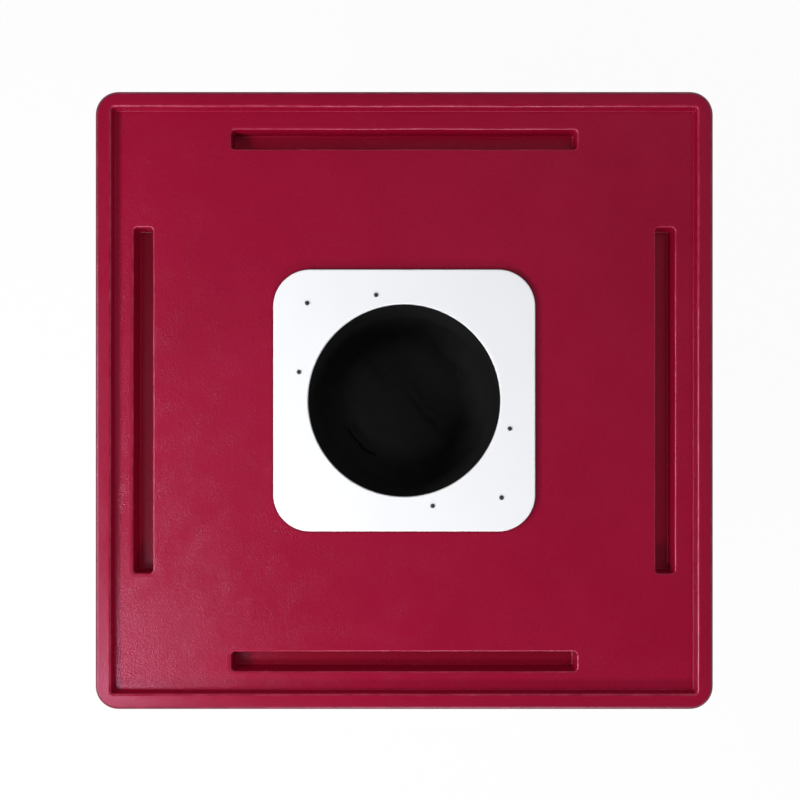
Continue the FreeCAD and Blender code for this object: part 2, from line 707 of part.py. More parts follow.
def make_drawer(side, name):
    screw_line = [("0", front_middle)]
    tray = new_body(f"drawer_tray_{name}")
    depth = f"({rail_inner} - {tray_back})"
    blank = sketch_on(tray, "XY_Plane", front_bottom)
    rectangle(blank, negative(tray_side), tray_side, negative(rail_inner), negative(tray_back))
    pad(tray, blank, "dims.tray_height")
    inside = f"({tray_side} - dims.tray_wall)"
    well = sketch_on(tray, "XY_Plane", f"({front_bottom} + dims.tray_height)")
    rectangle(well, negative(inside), inside, f"({negative(rail_inner)} + dims.tray_wall)",
              f"({negative(tray_back)} - dims.tray_wall)")
    pocket(tray, well, "(dims.tray_height - dims.tray_wall)")
    floor, half_depth = value(f"{front_bottom} + dims.tray_wall"), value(depth) / 2
    middle = value(negative(rail_inner)) + half_depth
    wide = value(inside)
    round_edges(tray, "dims.tray_wall", lambda point: abs(point.z - floor) < NEAR
                and abs(point.x) < wide + NEAR and abs(point.y - middle) < half_depth)
    drill(tray, "XZ_Plane", rail_inner, screw_line, "dims.wood_screw", "dims.tray_wall")
    keep(turned(tray, side), f"drawer_tray_{name}")

    front = new_body(f"drawer_front_{name}")
    panel = sketch_on(front, "XZ_Plane", rail_inner)
    rectangle(panel, negative(front_half), front_half, front_bottom, front_top)
    pad(front, panel, "dims.apron_thickness")
    drill(front, "XZ_Plane", rail_outer, screw_line, "dims.wood_screw", "dims.apron_thickness")
    face, middle, head = -value(rail_outer), value(front_middle), value("dims.wood_head")
    round_edges(front, "dims.edge_ease", lambda point: abs(point.y - face) < NEAR
                and max(abs(point.x), abs(point.z - middle)) > head)
    keep(turned(front, side), f"drawer_front_{name}")

    knob = new_body(f"pull_knob_{name}")
    profile = sketch_on(knob, "XY_Plane", front_middle)

    def out(distance):
        return f"({negative(rail_outer)} - {distance})"

    outline(profile, [("dims.wood_screw", out("0")), ("dims.pull_foot", out("0")),
                      ("dims.pull_neck", out("dims.pull_stem")), ("dims.pull_radius", out(pull_brim)),
                      ("dims.pull_radius", out("dims.pull_length")), ("0", out("dims.pull_length")),
                      ("0", out("dims.pull_bore")), ("dims.wood_screw", out("dims.pull_bore"))])
    turned_profile(knob, profile)
    crown, brim = value(out("dims.pull_length")), value(out(pull_brim))
    round_edges(knob, "dims.pull_crown", lambda point: abs(point.y - crown) < NEAR)
    round_edges(knob, "dims.edge_ease", lambda point: abs(point.y - brim) < NEAR)
    seat = ("0", f"({negative(rail_inner)} + dims.tray_wall)", front_middle)
    grip = "(dims.tray_wall + dims.apron_thickness + dims.pull_bore)"
    bolt = wood_screw(f"pull_screw_{name}", "-y", seat, grip)
    group(f"drawer_pull_{name}", [turned(knob, side), turned(bolt, side)])


# folding legs and their braces
def make_bracket(side, name):
    label = f"leg_bracket_{name}"
    near_side = f"({leg_place} - dims.bracket_half)"
    wall = (negative(rail_inner), negative(plate_face))
    far_side = f"({anchor_place} - dims.bracket_drop)"
    strap = box(f"{label}_strap", (far_side, rail_inner), wall, (plate_bottom, plate_top))
    back = box(f"{label}_back", (near_side, rail_inner), wall, (plate_bottom, block_bottom))
    web = box(f"{label}_web", (near_side, rail_inner), (negative(rail_inner), negative(ear_in)),
              (web_under, block_bottom))
    ear = box(f"{label}_ear", (near_side, f"({leg_place} + dims.bracket_half)"),
              (negative(ear_out), negative(ear_in)), (plate_bottom, block_bottom))
    pivot_start = (leg_place, negative(rail_inner), pivot_height)
    anchor_start = (anchor_place, negative(rail_inner), pivot_height)
    holes = [rod(f"{label}_pivot_hole", "y", pivot_start, "dims.pin_radius", f"{rail_inner} - {ear_in}"),
             rod(f"{label}_anchor_hole", "y", anchor_start, "dims.pin_radius", "dims.bracket_gauge")]
    for number, x in enumerate(plate_screws):
        start = (x, negative(rail_inner), plate_screw)
        holes.append(rod(f"{label}_screw_hole_{number}", "y", start, "dims.wood_screw", "dims.bracket_gauge"))
    keep(turned(cut_from(label, joined(f"{label}_bent", [strap, back, web, ear]), holes), side), label)


def make_leg(side, name):
    leg = new_body(f"leg_tube_{name}")
    at_leg = {"right": leg_place, "up": negative(leg_middle)}
    tube = sketch_on(leg, "XY_Plane", "dims.foot_floor", **at_leg)
    half = "(dims.leg_width / 2)"
    bore = f"({half} - dims.leg_wall)"
    rounded_rectangle(tube, half, half, "dims.leg_corner")
    rounded_rectangle(tube, bore, bore, "(dims.leg_corner - dims.leg_wall)")
    pad(leg, tube, f"{pivot_height} + dims.leg_head - dims.foot_floor")
    drill(leg, "XZ_Plane", leg_in, [(leg_place, pivot_height)], running_hole, "dims.leg_width", forwards=True)
    keep(turned(leg, side), f"leg_tube_{name}")

    foot = new_body(f"leg_foot_{name}")
    sole = sketch_on(foot, "XY_Plane", **at_leg)
    foot_half = "(dims.foot_width / 2)"
    rounded_rectangle(sole, foot_half, foot_half, "(dims.leg_corner + dims.edge_ease)")
    pad(foot, sole, "dims.foot_height")
    socket_half = f"({half} + dims.run_gap)"
    socket = sketch_on(foot, "XY_Plane", "dims.foot_height", **at_leg)
    rounded_rectangle(socket, socket_half, socket_half, "(dims.leg_corner + dims.run_gap)")
    pocket(foot, socket, "(dims.foot_height - dims.foot_floor)")
    round_edges(foot, "dims.edge_ease", lambda point: abs(point.z) < NEAR)
    keep(turned(foot, side), f"leg_foot_{name}")


def round_pin(name, x, height, inner, outer):
    """Plain pin across the leg's plane, between two distances from the table's middle."""
    body = new_body(name)
    section = sketch_on(body, "XZ_Plane", inner, x, height)
    circle(section, "0", "0", "dims.pin_radius")
    pad(body, section, f"{outer} - {inner}")
    return body


def make_brace(side, name):
    upper = new_body(f"upper_link_{name}")
    strip = sketch_on(upper, "XZ_Plane", upper_in, anchor_place, pivot_height, angle=-45)
    slot(strip, link_length, "dims.link_half")
    circle(strip, "0", "0", running_hole)
    circle(strip, link_length, "0", "dims.pin_radius")
    pad(upper, strip, "dims.link_gauge")
    rivet = round_pin(f"knuckle_rivet_{name}", knuckle_place, knuckle_height, lower_in, upper_out)
    group(f"brace_upper_{name}", [turned(upper, side), turned(rivet, side)])

    lower = new_body(f"brace_lower_{name}")
    strip = sketch_on(lower, "XZ_Plane", lower_in, knuckle_place, knuckle_height, angle=-45)
    slot(strip, link_length, "dims.link_half")
    circle(strip, "0", "0", running_hole)
    pad(lower, strip, "dims.link_gauge")
    stud_end = f"({leg_out} + dims.slide_gap)"
    stud = sketch_on(lower, "XZ_Plane", stud_end, leg_place, f"({pivot_height} - dims.brace_reach)")
    circle(stud, "0", "0", "dims.pin_radius")
    pad(lower, stud, f"{lower_out} - {stud_end}")
    keep(turned(lower, side), f"brace_lower_{name}")


def make_pivots():
    pivots, anchors = [], []
    for side, name in enumerate(CORNERS):
        start = (leg_place, negative(rail_inner), pivot_height)
        axle = rod(f"pivot_axle_{name}", "y", start, "dims.pin_radius", f"{rail_inner} - {ear_in}")
        head = rod(f"pivot_head_{name}", "y", (leg_place, negative(ear_in), pivot_height), "dims.pin_head",
                   "dims.pin_head_height", "dims.pin_head * dims.crown_share")
        pivots.append(turned(joined(f"pivot_pin_{name}", [axle, head]), side))
        start = (leg_place, negative(plate_face), pivot_height)
        length = f"{plate_face} - {leg_out} - dims.slide_gap"
        outside = rod(f"pivot_spacer_{name}_outside", "y", start, "dims.spacer_radius", length)
        bore = rod(f"pivot_spacer_{name}_bore", "y", start, "dims.pin_radius", length)
        bush = cut_from(f"pivot_spacer_{name}", outside, [bore])
        pivots.append(turned(bush, side))
        anchor = round_pin(f"anchor_pin_{name}", anchor_place, pivot_height, upper_in, rail_inner)
        anchors.append(turned(anchor, side))
    group("leg_pivots", pivots)
    group("brace_anchor_pins", anchors)


def make_screws():
    rail_joints, top_fixings, frame_fixings = [], [], []
    top_grip = f"{deck_under} - {block_bottom} - dims.edge_ease"
    strap_grip = "(dims.bracket_gauge + dims.thin_screw_grip)"
    tab_grip = "(dims.runner_gauge + dims.thin_screw_grip)"
    front_seat = f"({negative(rail_inner)} + dims.runner_gauge)"
    rear_seat = f"({negative(inner_outer)} - dims.runner_gauge)"
    for side, name in enumerate(SIDES):

        def add(fixings, kind, axis, seat, grip):
            number = len(fixings) + 1
            fixings.append(turned(wood_screw(f"{kind}_{name}_{number}", axis, seat, grip), side))

        for height in joint_heights:
            add(rail_joints, "apron_screw", "y", (negative(joint_screw), negative(rail_outer), height),
                "dims.rail_screw_grip")
        add(top_fixings, "top_screw", "z", (boss_place, negative(boss_place), block_bottom), top_grip)
        for x in plate_screws:
            add(frame_fixings, "bracket_screw", "-y", (x, negative(plate_face), plate_screw), strap_grip)
        for place in (str, negative):
            add(frame_fixings, "tab_screw", "-y", (place(front_tab), front_seat, tab_middle), tab_grip)
            add(frame_fixings, "tab_screw", "y", (place(rear_tab), rear_seat, tab_middle), tab_grip)
    group("apron_screws", rail_joints)
    group("top_screws", top_fixings)
    group("frame_screws", frame_fixings)


make_table_top()
make_ring()
make_saddles()
make_bag()
for side, name in enumerate(SIDES):
    make_rail(side, name)
    make_inner_rail(side, name)
    make_runners(side, name)
    make_drawer(side, name)
for side, name in enumerate(CORNERS):
    make_corner_block(side, name)
    make_bracket(side, name)
    make_leg(side, name)
    make_brace(side, name)
make_pivots()
make_screws()
doc.recompute()

for item in doc.Objects:
    if "Invalid" in item.State or "Error" in item.State:
        raise RuntimeError(f"{item.Label} failed: {item.State}")
for label, item in nodes.items():
    if item.Shape.isNull() or not item.Shape.isValid() or not item.Shape.Solids:
        raise RuntimeError(f"{label} has no valid solid")

os.makedirs("parts", exist_ok=True)
for label, item in nodes.items():
    item.Shape.exportStep(f"parts/{label}.step")
print(f"{len(nodes)} sub-parts, {sum(len(item.Shape.Solids) for item in nodes.values())} solids")
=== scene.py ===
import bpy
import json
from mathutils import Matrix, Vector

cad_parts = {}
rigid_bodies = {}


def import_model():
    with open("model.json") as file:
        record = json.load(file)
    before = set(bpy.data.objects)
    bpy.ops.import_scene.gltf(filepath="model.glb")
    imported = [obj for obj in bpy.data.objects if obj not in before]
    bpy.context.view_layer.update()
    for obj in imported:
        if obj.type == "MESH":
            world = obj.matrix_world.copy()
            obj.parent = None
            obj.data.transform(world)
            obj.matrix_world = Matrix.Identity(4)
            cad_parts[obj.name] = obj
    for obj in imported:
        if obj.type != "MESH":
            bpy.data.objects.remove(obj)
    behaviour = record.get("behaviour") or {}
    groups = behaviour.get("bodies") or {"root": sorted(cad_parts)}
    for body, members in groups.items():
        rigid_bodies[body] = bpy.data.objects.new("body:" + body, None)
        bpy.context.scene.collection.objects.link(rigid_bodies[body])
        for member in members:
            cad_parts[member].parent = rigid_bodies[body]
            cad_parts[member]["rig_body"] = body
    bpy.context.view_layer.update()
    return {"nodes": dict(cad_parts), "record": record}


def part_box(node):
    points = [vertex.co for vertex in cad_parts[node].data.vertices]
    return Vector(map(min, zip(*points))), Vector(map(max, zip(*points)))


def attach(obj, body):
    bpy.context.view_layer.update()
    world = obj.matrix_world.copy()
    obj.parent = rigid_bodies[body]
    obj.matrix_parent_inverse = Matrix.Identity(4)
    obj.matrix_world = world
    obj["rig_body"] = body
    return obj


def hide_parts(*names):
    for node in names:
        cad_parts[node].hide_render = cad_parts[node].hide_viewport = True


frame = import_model()

import json
import math

import bmesh
import bpy
import numpy as np
from mathutils import Matrix, Vector, geometry, kdtree, noise

# Game table: a moulded crimson tray with four long troughs, a white ring over a cloth bag, an apron with
# four drawers and four folding legs. Metres, front drawer at -Y, floor at z 0.
scene = bpy.context.scene
nodes = frame["nodes"]
slotOf = {part["node"]: part["material_slot"] for part in frame["record"]["subparts"]}
sides = ("front", "right", "back", "left")
corners = ("front_right", "back_right", "back_left", "front_left")
print("frame loaded,", len(nodes), "nodes")


# node helpers: a socket as a value is linked, anything else is set
def fillInputs(tree, node, inputs):
    for name, value in inputs.items():
        if isinstance(value, bpy.types.NodeSocket):
            tree.links.new(value, node.inputs[name])
        else:
            node.inputs[name].default_value = value


def addNode(tree, kind, inputs=None, **settings):
    node = tree.nodes.new(kind)
    for name, value in settings.items():
        setattr(node, name, value)
    fillInputs(tree, node, inputs or {})
    return node


def mathNode(tree, operation, first, second=0.5):
    return addNode(tree, "ShaderNodeMath", {0: first, 1: second}, operation=operation).outputs[0]


def times(tree, first, second):
    return mathNode(tree, "MULTIPLY", first, second)


def remap(tree, value, low, high, toLow=0.0, toHigh=1.0):
    inputs = {"Value": value, "From Min": low, "From Max": high, "To Min": toLow, "To Max": toHigh}
    return addNode(tree, "ShaderNodeMapRange", inputs).outputs["Result"]


def mixColour(tree, factor, first, second, blend="MIX"):
    inputs = {0: factor, 6: first, 7: second}
    return addNode(tree, "ShaderNodeMix", inputs, data_type="RGBA", blend_type=blend).outputs[2]


def mixValue(tree, factor, first, second):
    return addNode(tree, "ShaderNodeMix", {0: factor, 2: first, 3: second}, data_type="FLOAT").outputs[0]


def noiseAt(tree, vector, scale, detail=2.0, roughness=0.5):
    inputs = {"Vector": vector, "Scale": scale, "Detail": detail, "Roughness": roughness}
    return addNode(tree, "ShaderNodeTexNoise", inputs).outputs["Fac"]


def partsOf(tree, vector):
    return addNode(tree, "ShaderNodeSeparateXYZ", {0: vector}).outputs


def vectorOf(tree, parts):
    return addNode(tree, "ShaderNodeCombineXYZ", parts).outputs[0]


def lengthOf(tree, vector):
    return addNode(tree, "ShaderNodeVectorMath", {0: vector}, operation="LENGTH").outputs["Value"]


socketKinds = {"value": "NodeSocketFloat", "colour": "NodeSocketColor", "vector": "NodeSocketVector"}


def newGroup(name, inputs, outputs):
    tree = bpy.data.node_groups.new(name, "ShaderNodeTree")
    for way, sockets in (("INPUT", inputs), ("OUTPUT", outputs)):
        for label, kind in sockets.items():
            tree.interface.new_socket(label, in_out=way, socket_type=socketKinds[kind])
    return tree, tree.nodes.new("NodeGroupInput").outputs, tree.nodes.new("NodeGroupOutput").inputs


def placeGroup(tree, group, inputs, output):
    return addNode(tree, "ShaderNodeGroup", inputs, node_tree=group).outputs[output]


# effects that several finishes share
def makeSoftTone():
    # two colours that drift into each other
    tree, given, out = newGroup("softTone", {"Vector": "vector", "Scale": "value", "Colour": "colour",
                                             "Second Colour": "colour"}, {"Colour": "colour"})
    cloud = remap(tree, noiseAt(tree, given["Vector"], given["Scale"], 3.0, 0.55), 0.32, 0.68)
    tree.links.new(mixColour(tree, cloud, given["Colour"], given["Second Colour"]), out["Colour"])
    return tree


def makePebbleGrain():
    # soft cells with a finer roughness over them, stronger in some patches
    tree, given, out = newGroup("pebbleGrain", {"Vector": "vector", "Scale": "value"}, {"Height": "value"})
    vector, scale = given["Vector"], given["Scale"]
    cells = addNode(tree, "ShaderNodeTexVoronoi", {"Vector": vector, "Scale": scale, "Smoothness": 0.7},
                    feature="SMOOTH_F1").outputs["Distance"]
    fine = noiseAt(tree, vector, times(tree, scale, 2.3), 2.0, 0.6)
    height = mathNode(tree, "ADD", times(tree, cells, 0.55), times(tree, fine, 0.8))
    patches = remap(tree, noiseAt(tree, vector, times(tree, scale, 0.08)), 0.3, 0.7, 0.5, 1.3)
    tree.links.new(times(tree, height, patches), out["Height"])
    return tree


def makeEdgeWear():
    # patchy share of the edges
    tree, given, out = newGroup("edgeWear", {"Edge": "value", "Vector": "vector", "Scale": "value",
                                             "Amount": "value"}, {"Mask": "value"})
    patches = remap(tree, noiseAt(tree, given["Vector"], given["Scale"], 4.0, 0.65), 0.38, 0.66)
    tree.links.new(times(tree, times(tree, given["Edge"], patches), given["Amount"]), out["Mask"])
    return tree


def makeDustSpecks():
    # a speck in about one cell of seven
    tree, given, out = newGroup("dustSpecks", {"Vector": "vector", "Scale": "value", "Size": "value"},
                                {"Mask": "value"})
    inputs = {"Vector": given["Vector"], "Scale": given["Scale"]}
    cells = addNode(tree, "ShaderNodeTexVoronoi", inputs).outputs
    red = addNode(tree, "ShaderNodeSeparateColor", {"Color": cells["Color"]}).outputs["Red"]
    chosen = mathNode(tree, "GREATER_THAN", red, 0.86)
    near = mathNode(tree, "LESS_THAN", cells["Distance"], given["Size"])
    tree.links.new(times(tree, chosen, near), out["Mask"])
    return tree


def makeBrushing():
    # fine lines across the axis that has the largest scale
    tree, given, out = newGroup("brushing", {"Vector": "vector", "Scale": "vector"}, {"Lines": "value"})
    drawn = addNode(tree, "ShaderNodeVectorMath", {0: given["Vector"], 1: given["Scale"]},
                    operation="MULTIPLY")
    lines = noiseAt(tree, drawn.outputs["Vector"], 1.0, 4.0, 0.7)
    tree.links.new(remap(tree, lines, 0.3, 0.7), out["Lines"])
    return tree


def makePlateShadowRound():
    # mask of a painted shadow: 1 at the outline of a rounded square about the origin, fading to 0 at the
    # given width outside it
    tree, given, out = newGroup("plateShadowRound", {"Vector": "vector", "Half": "value", "Radius": "value",
                                               "Width": "value"}, {"Mask": "value"})
    straight = mathNode(tree, "SUBTRACT", given["Half"], given["Radius"])
    over = []
    for part in partsOf(tree, given["Vector"])[:2]:
        past = mathNode(tree, "SUBTRACT", mathNode(tree, "ABSOLUTE", part), straight)
        over.append(mathNode(tree, "MAXIMUM", past, 0.0))
    away = lengthOf(tree, vectorOf(tree, {0: over[0], 1: over[1]}))
    beyond = mathNode(tree, "DIVIDE", mathNode(tree, "SUBTRACT", away, given["Radius"]), given["Width"])
    tree.links.new(remap(tree, beyond, 0.0, 1.0, 1.0, 0.0), out["Mask"])
    return tree


softTone = makeSoftTone()
pebbleGrain = makePebbleGrain()
edgeWear = makeEdgeWear()
dustSpecks = makeDustSpecks()
brushing = makeBrushing()
plateShadowRound = makePlateShadowRound()
print("shared effects made")


# parts of a finish
def newMaterial(name, constants=None):
    material = bpy.data.materials.new(name)
    material.use_nodes = True
    tree = material.node_tree
    shader = tree.nodes["Principled BSDF"]
    fillInputs(tree, shader, constants or {})
    place = addNode(tree, "ShaderNodeTexCoord").outputs["Object"]
    return material, tree, shader, place


def attributeValue(tree, name):
    return addNode(tree, "ShaderNodeAttribute", attribute_name=name).outputs["Fac"]


def bumped(tree, shader, height, distance):
    bump = addNode(tree, "ShaderNodeBump", {"Height": height, "Strength": 1.0, "Distance": distance})
    tree.links.new(bump.outputs["Normal"], shader.inputs["Normal"])


def cloudyTone(tree, place, scale, tones):
    return placeGroup(tree, softTone, {"Vector": place, "Scale": scale, "Colour": tones[0],
                                       "Second Colour": tones[1]}, "Colour")


def wornEdges(tree, place, wear, colour, wornColour):
    scale, amount = wear
    mask = placeGroup(tree, edgeWear, {"Edge": attributeValue(tree, "edge"), "Vector": place, "Scale": scale,
                                       "Amount": amount}, "Mask")
    return mixColour(tree, mask, colour, wornColour)


def speckled(tree, place, specks, colour, speckColour):
    scale, size = specks
    mask = placeGroup(tree, dustSpecks, {"Vector": place, "Scale": scale, "Size": size}, "Mask")
    return mixColour(tree, mask, colour, speckColour)


def unevenGloss(tree, place, gloss):
    scale, detail, smooth, dull = gloss
    return remap(tree, noiseAt(tree, place, scale, detail), 0.3, 0.7, smooth, dull)


def pebbles(tree, place, scale):
    return placeGroup(tree, pebbleGrain, {"Vector": place, "Scale": scale}, "Height")


# finishes. tones: two colours; wear: patch scale and share of the edges; specks: scale and size;
# gloss: scale, detail and roughness from and to; relief: grain scale and depth
crimsonFinish = {
    "constants": {"IOR": 1.42, "Specular Tint": (0.88, 0.60, 0.92, 1.0), "Coat Roughness": 0.16},
    "tones": ((0.262, 0.0018, 0.0225, 1.0), (0.282, 0.0026, 0.0262, 1.0)),
    "toneScale": 6.0,
    "deep": (0.228, 0.0008, 0.0140, 1.0),      # painted shade on the floors of the troughs
    "turn": (0.120, 0.0015, 0.0130, 1.0),      # painted shade where the rim turns down to the skirt, and the painted shadow round the white ring
    "turnRoughness": 0.40,
    "plateShadow": {"Half": 0.170, "Radius": 0.048, "Width": 0.0045},
    "plateShadowShare": 0.85,
    "wear": (40.0, 0.55),
    # rubbed edges; the lighter colour also serves as a painted highlight along the lips
    "worn": (0.470, 0.0450, 0.0950, 1.0),
    "edgeRoughness": 0.17,
    "edgeCoat": 0.22,
    "specks": (26.0, 0.03),
    "speck": (0.62, 0.32, 0.36, 1.0),
    "gloss": (18.0, 3.0, 0.22, 0.30),
    "relief": (390.0, 0.00033),
}


def makeCrimsonPlastic():
    look = crimsonFinish
    material, tree, shader, place = newMaterial("crimsonPlastic", look["constants"])
    turn = attributeValue(tree, "turn")
    edge = attributeValue(tree, "edge")
    colour = cloudyTone(tree, place, look["toneScale"], look["tones"])
    # painted shade on the trough floors
    colour = mixColour(tree, attributeValue(tree, "deep"), colour, look["deep"])
    # painted shade where the rim turns down to the skirt
    colour = mixColour(tree, turn, colour, look["turn"])
    # painted contact shadow round the white ring, in the colour of the painted edge shade
    ring = placeGroup(tree, plateShadowRound, look["plateShadow"] | {"Vector": place}, "Mask")
    colour = mixColour(tree, times(tree, ring, look["plateShadowShare"]), colour, look["turn"])
    # rubbed edges, lighter in part as a painted highlight along the lips
    colour = wornEdges(tree, place, look["wear"], colour, look["worn"])
    colour = speckled(tree, place, look["specks"], colour, look["speck"])
    dull = unevenGloss(tree, place, look["gloss"])
    dull = mathNode(tree, "ADD", dull, times(tree, turn, look["turnRoughness"]))
    fillInputs(tree, shader, {
        "Base Color": colour,
        "Roughness": mixValue(tree, edge, dull, look["edgeRoughness"]),
        "Coat Weight": times(tree, edge, look["edgeCoat"]),
    })
    scale, depth = look["relief"]
    bumped(tree, shader, times(tree, pebbles(tree, place, scale), attributeValue(tree, "grain")), depth)
    return material


plainFinishes = {
    "crimson_board": {
        "name": "crimsonBoard",
        "constants": {"IOR": 1.42, "Specular Tint": (0.95, 0.60, 0.80, 1.0)},
        "tones": ((0.262, 0.0032, 0.0225, 1.0), (0.286, 0.0045, 0.0270, 1.0)),
        "toneScale": 9.0,
        "wear": (60.0, 0.7),
        "worn": (0.42, 0.060, 0.095, 1.0),
        "gloss": (30.0, 3.0, 0.30, 0.42),
        "relief": (900.0, 0.00006),
    },
    "white_plastic": {
        "name": "whitePlastic",
        "tones": ((0.86, 0.87, 0.905, 1.0), (0.88, 0.885, 0.91, 1.0)),
        "toneScale": 7.0,
        "specks": (40.0, 0.02),
        "speck": (0.55, 0.53, 0.52, 1.0),
        "gloss": (35.0, 3.0, 0.32, 0.42),
        "relief": (700.0, 0.00004),
    },
    "black_plastic": {
        "name": "blackPlastic",
        "tones": ((0.014, 0.014, 0.015, 1.0), (0.022, 0.022, 0.024, 1.0)),
        "toneScale": 14.0,
        "wear": (70.0, 0.6),
        "worn": (0.07, 0.07, 0.075, 1.0),
        "gloss": (45.0, 3.0, 0.42, 0.56),
        "relief": (800.0, 0.00012),
    },
    "black_steel": {
        "name": "blackSteel",
        "tones": ((0.011, 0.011, 0.012, 1.0), (0.018, 0.018, 0.019, 1.0)),
        "toneScale": 20.0,
        "wear": (80.0, 0.8),
        "worn": (0.10, 0.10, 0.105, 1.0),
        "gloss": (60.0, 3.0, 0.33, 0.46),
        "relief": (420.0, 0.00010),
    },
    "dark_screw": {
        "name": "darkScrew",
        "constants": {"Metallic": 1.0},
        "tones": ((0.060, 0.060, 0.066, 1.0), (0.130, 0.130, 0.138, 1.0)),
        "toneScale": 300.0,
        "gloss": (500.0, 2.0, 0.4, 0.55),
    },
    "black_rubber": {
        "name": "blackRubber",
        "tones": ((0.012, 0.012, 0.012, 1.0), (0.026, 0.025, 0.024, 1.0)),
        "toneScale": 60.0,
        "wear": (120.0, 0.6),
        "worn": (0.08, 0.078, 0.074, 1.0),
        "gloss": (150.0, 2.0, 0.6, 0.8),
        "relief": (1100.0, 0.0001),
    },
}


def makePlainFinish(look):
    material, tree, shader, place = newMaterial(look["name"], look.get("constants"))
    colour = cloudyTone(tree, place, look["toneScale"], look["tones"])
    if "wear" in look:
        colour = wornEdges(tree, place, look["wear"], colour, look["worn"])
    if "specks" in look:
        colour = speckled(tree, place, look["specks"], colour, look["speck"])
    fillInputs(tree, shader, {"Base Color": colour, "Roughness": unevenGloss(tree, place, look["gloss"])})
    if "relief" in look:
        scale, depth = look["relief"]
        bumped(tree, shader, pebbles(tree, place, scale), depth)
    return material


zincFinish = {
    "tint": (0.56, 0.57, 0.59, 1.0),
    "spangleScale": 160.0,
    "spangleShare": 0.12,
    "dull": ((0.78, 0.78, 0.78, 1.0), (1.0, 1.0, 1.0, 1.0)),
    "dullScale": 25.0,
    "lines": (60.0, 60.0, 900.0),
    "roughness": (0.28, 0.44),
    "depth": 0.00002,
}


def makeZincSteel():
    look = zincFinish
    material, tree, shader, place = newMaterial("zincSteel", {"Metallic": 1.0})
    spangle = addNode(tree, "ShaderNodeTexVoronoi", {"Vector": place, "Scale": look["spangleScale"]})
    tint = mixColour(tree, look["spangleShare"], look["tint"], spangle.outputs["Color"], "OVERLAY")
    dull = cloudyTone(tree, place, look["dullScale"], look["dull"])
    lines = placeGroup(tree, brushing, {"Vector": place, "Scale": look["lines"]}, "Lines")
    fillInputs(tree, shader, {
        "Base Color": mixColour(tree, 1.0, tint, dull, "MULTIPLY"),
        "Roughness": remap(tree, lines, 0.0, 1.0, *look["roughness"]),
    })
    bumped(tree, shader, lines, look["depth"])
    return material


woodFinish = {
    "early": (0.55, 0.37, 0.19, 1.0),
    "late": (0.42, 0.26, 0.125, 1.0),
    "along": 1.6,          # scale of the grain along the board, and across it
    "across": 26.0,
    "roughness": (0.55, 0.72),
    "depth": 0.00007,
}


def makeBareWood(name, way):
    look = woodFinish
    material, tree, shader, place = newMaterial(name)
    scale = [look["along"] if axis == way else look["across"] for axis in "xyz"]
    along = addNode(tree, "ShaderNodeMapping", {"Vector": place, "Scale": scale}).outputs["Vector"]
    inputs = {"Vector": along, "Scale": 1.0, "Distortion": 3.5, "Detail": 3.0, "Detail Scale": 1.2}
    rings = addNode(tree, "ShaderNodeTexWave", inputs, bands_direction="DIAGONAL").outputs["Fac"]
    fibres = noiseAt(tree, along, 9.0, 5.0, 0.7)
    grain = mathNode(tree, "ADD", times(tree, rings, 0.6), times(tree, fibres, 0.5))
    fillInputs(tree, shader, {
        "Base Color": mixColour(tree, remap(tree, grain, 0.2, 0.9), look["early"], look["late"]),
        "Roughness": remap(tree, fibres, 0.3, 0.7, *look["roughness"]),
    })
    bumped(tree, shader, grain, look["depth"])
    return material


materials = {slot: makePlainFinish(look) for slot, look in plainFinishes.items()}
materials["crimson_plastic"] = makeCrimsonPlastic()
materials["zinc_steel"] = makeZincSteel()
woods = {"x": makeBareWood("woodAlongX", "x"), "y": makeBareWood("woodAlongY", "y"),
         "z": makeBareWood("woodUpright", "z")}
print("finishes made,", len(materials) + len(woods))


# mesh helpers
def easedOutline(points, steps):
    # section of (reach, height, round radius) corners; gives (reach, height, 1 on a round)
    eased = []
    for index, (reach, height, radius) in enumerate(points):
        corner = Vector((reach, height))
        if not radius:
            eased.append((reach, height, 0.0))
            continue
        back = (Vector(points[index - 1][:2]) - corner).normalized()
        ahead = (Vector(points[index + 1][:2]) - corner).normalized()
        half = back.angle(ahead) / 2
        centre = corner + (back + ahead).normalized() * radius / math.sin(half)
        first = (corner + back * radius / math.tan(half) - centre).normalized()
        last = (corner + ahead * radius / math.tan(half) - centre).normalized()
        for step in range(steps + 1):
            point = centre + radius * first.slerp(last, step / steps)
            eased.append((point.x, point.y, math.sin(math.pi * step / steps)))
    return eased


def roundedRing(halfX, halfY, radius, cornerSteps, runX, runY):
    # flat ring of points, anticlockwise: a round at each corner, then evenly spaced points to the next
    arcs = []
    for signX, signY, start in ((1, 1, 0), (-1, 1, 90), (-1, -1, 180), (1, -1, 270)):
        centre = Vector((signX * (halfX - radius), signY * (halfY - radius)))
        angles = [math.radians(start + 90 * step / cornerSteps) for step in range(cornerSteps + 1)]
        arcs.append([centre + radius * Vector((math.cos(angle), math.sin(angle))) for angle in angles])
    ring = []
    for index, arc in enumerate(arcs):
        end = arcs[(index + 1) % 4][0]
        count = runY if index % 2 else runX
        ring += arc + [arc[-1].lerp(end, step / count) for step in range(1, count)]
    return ring


def circleRing(radius, count, centre=(0.0, 0.0)):
    angles = [2 * math.pi * step / count for step in range(count)]
    return [Vector(centre) + radius * Vector((math.cos(angle), math.sin(angle))) for angle in angles]


def raised(ring, height):
    return [(*point, height) for point in ring]


def loft(bm, rings):
    # rings of equal count, each a list of 3D points
    rows = [[bm.verts.new(point) for point in ring] for ring in rings]
    for lower, upper in zip(rows, rows[1:]):
        for step in range(len(lower)):
            following = (step + 1) % len(lower)
            bm.faces.new((lower[step], lower[following], upper[following], upper[step]))
    return rows


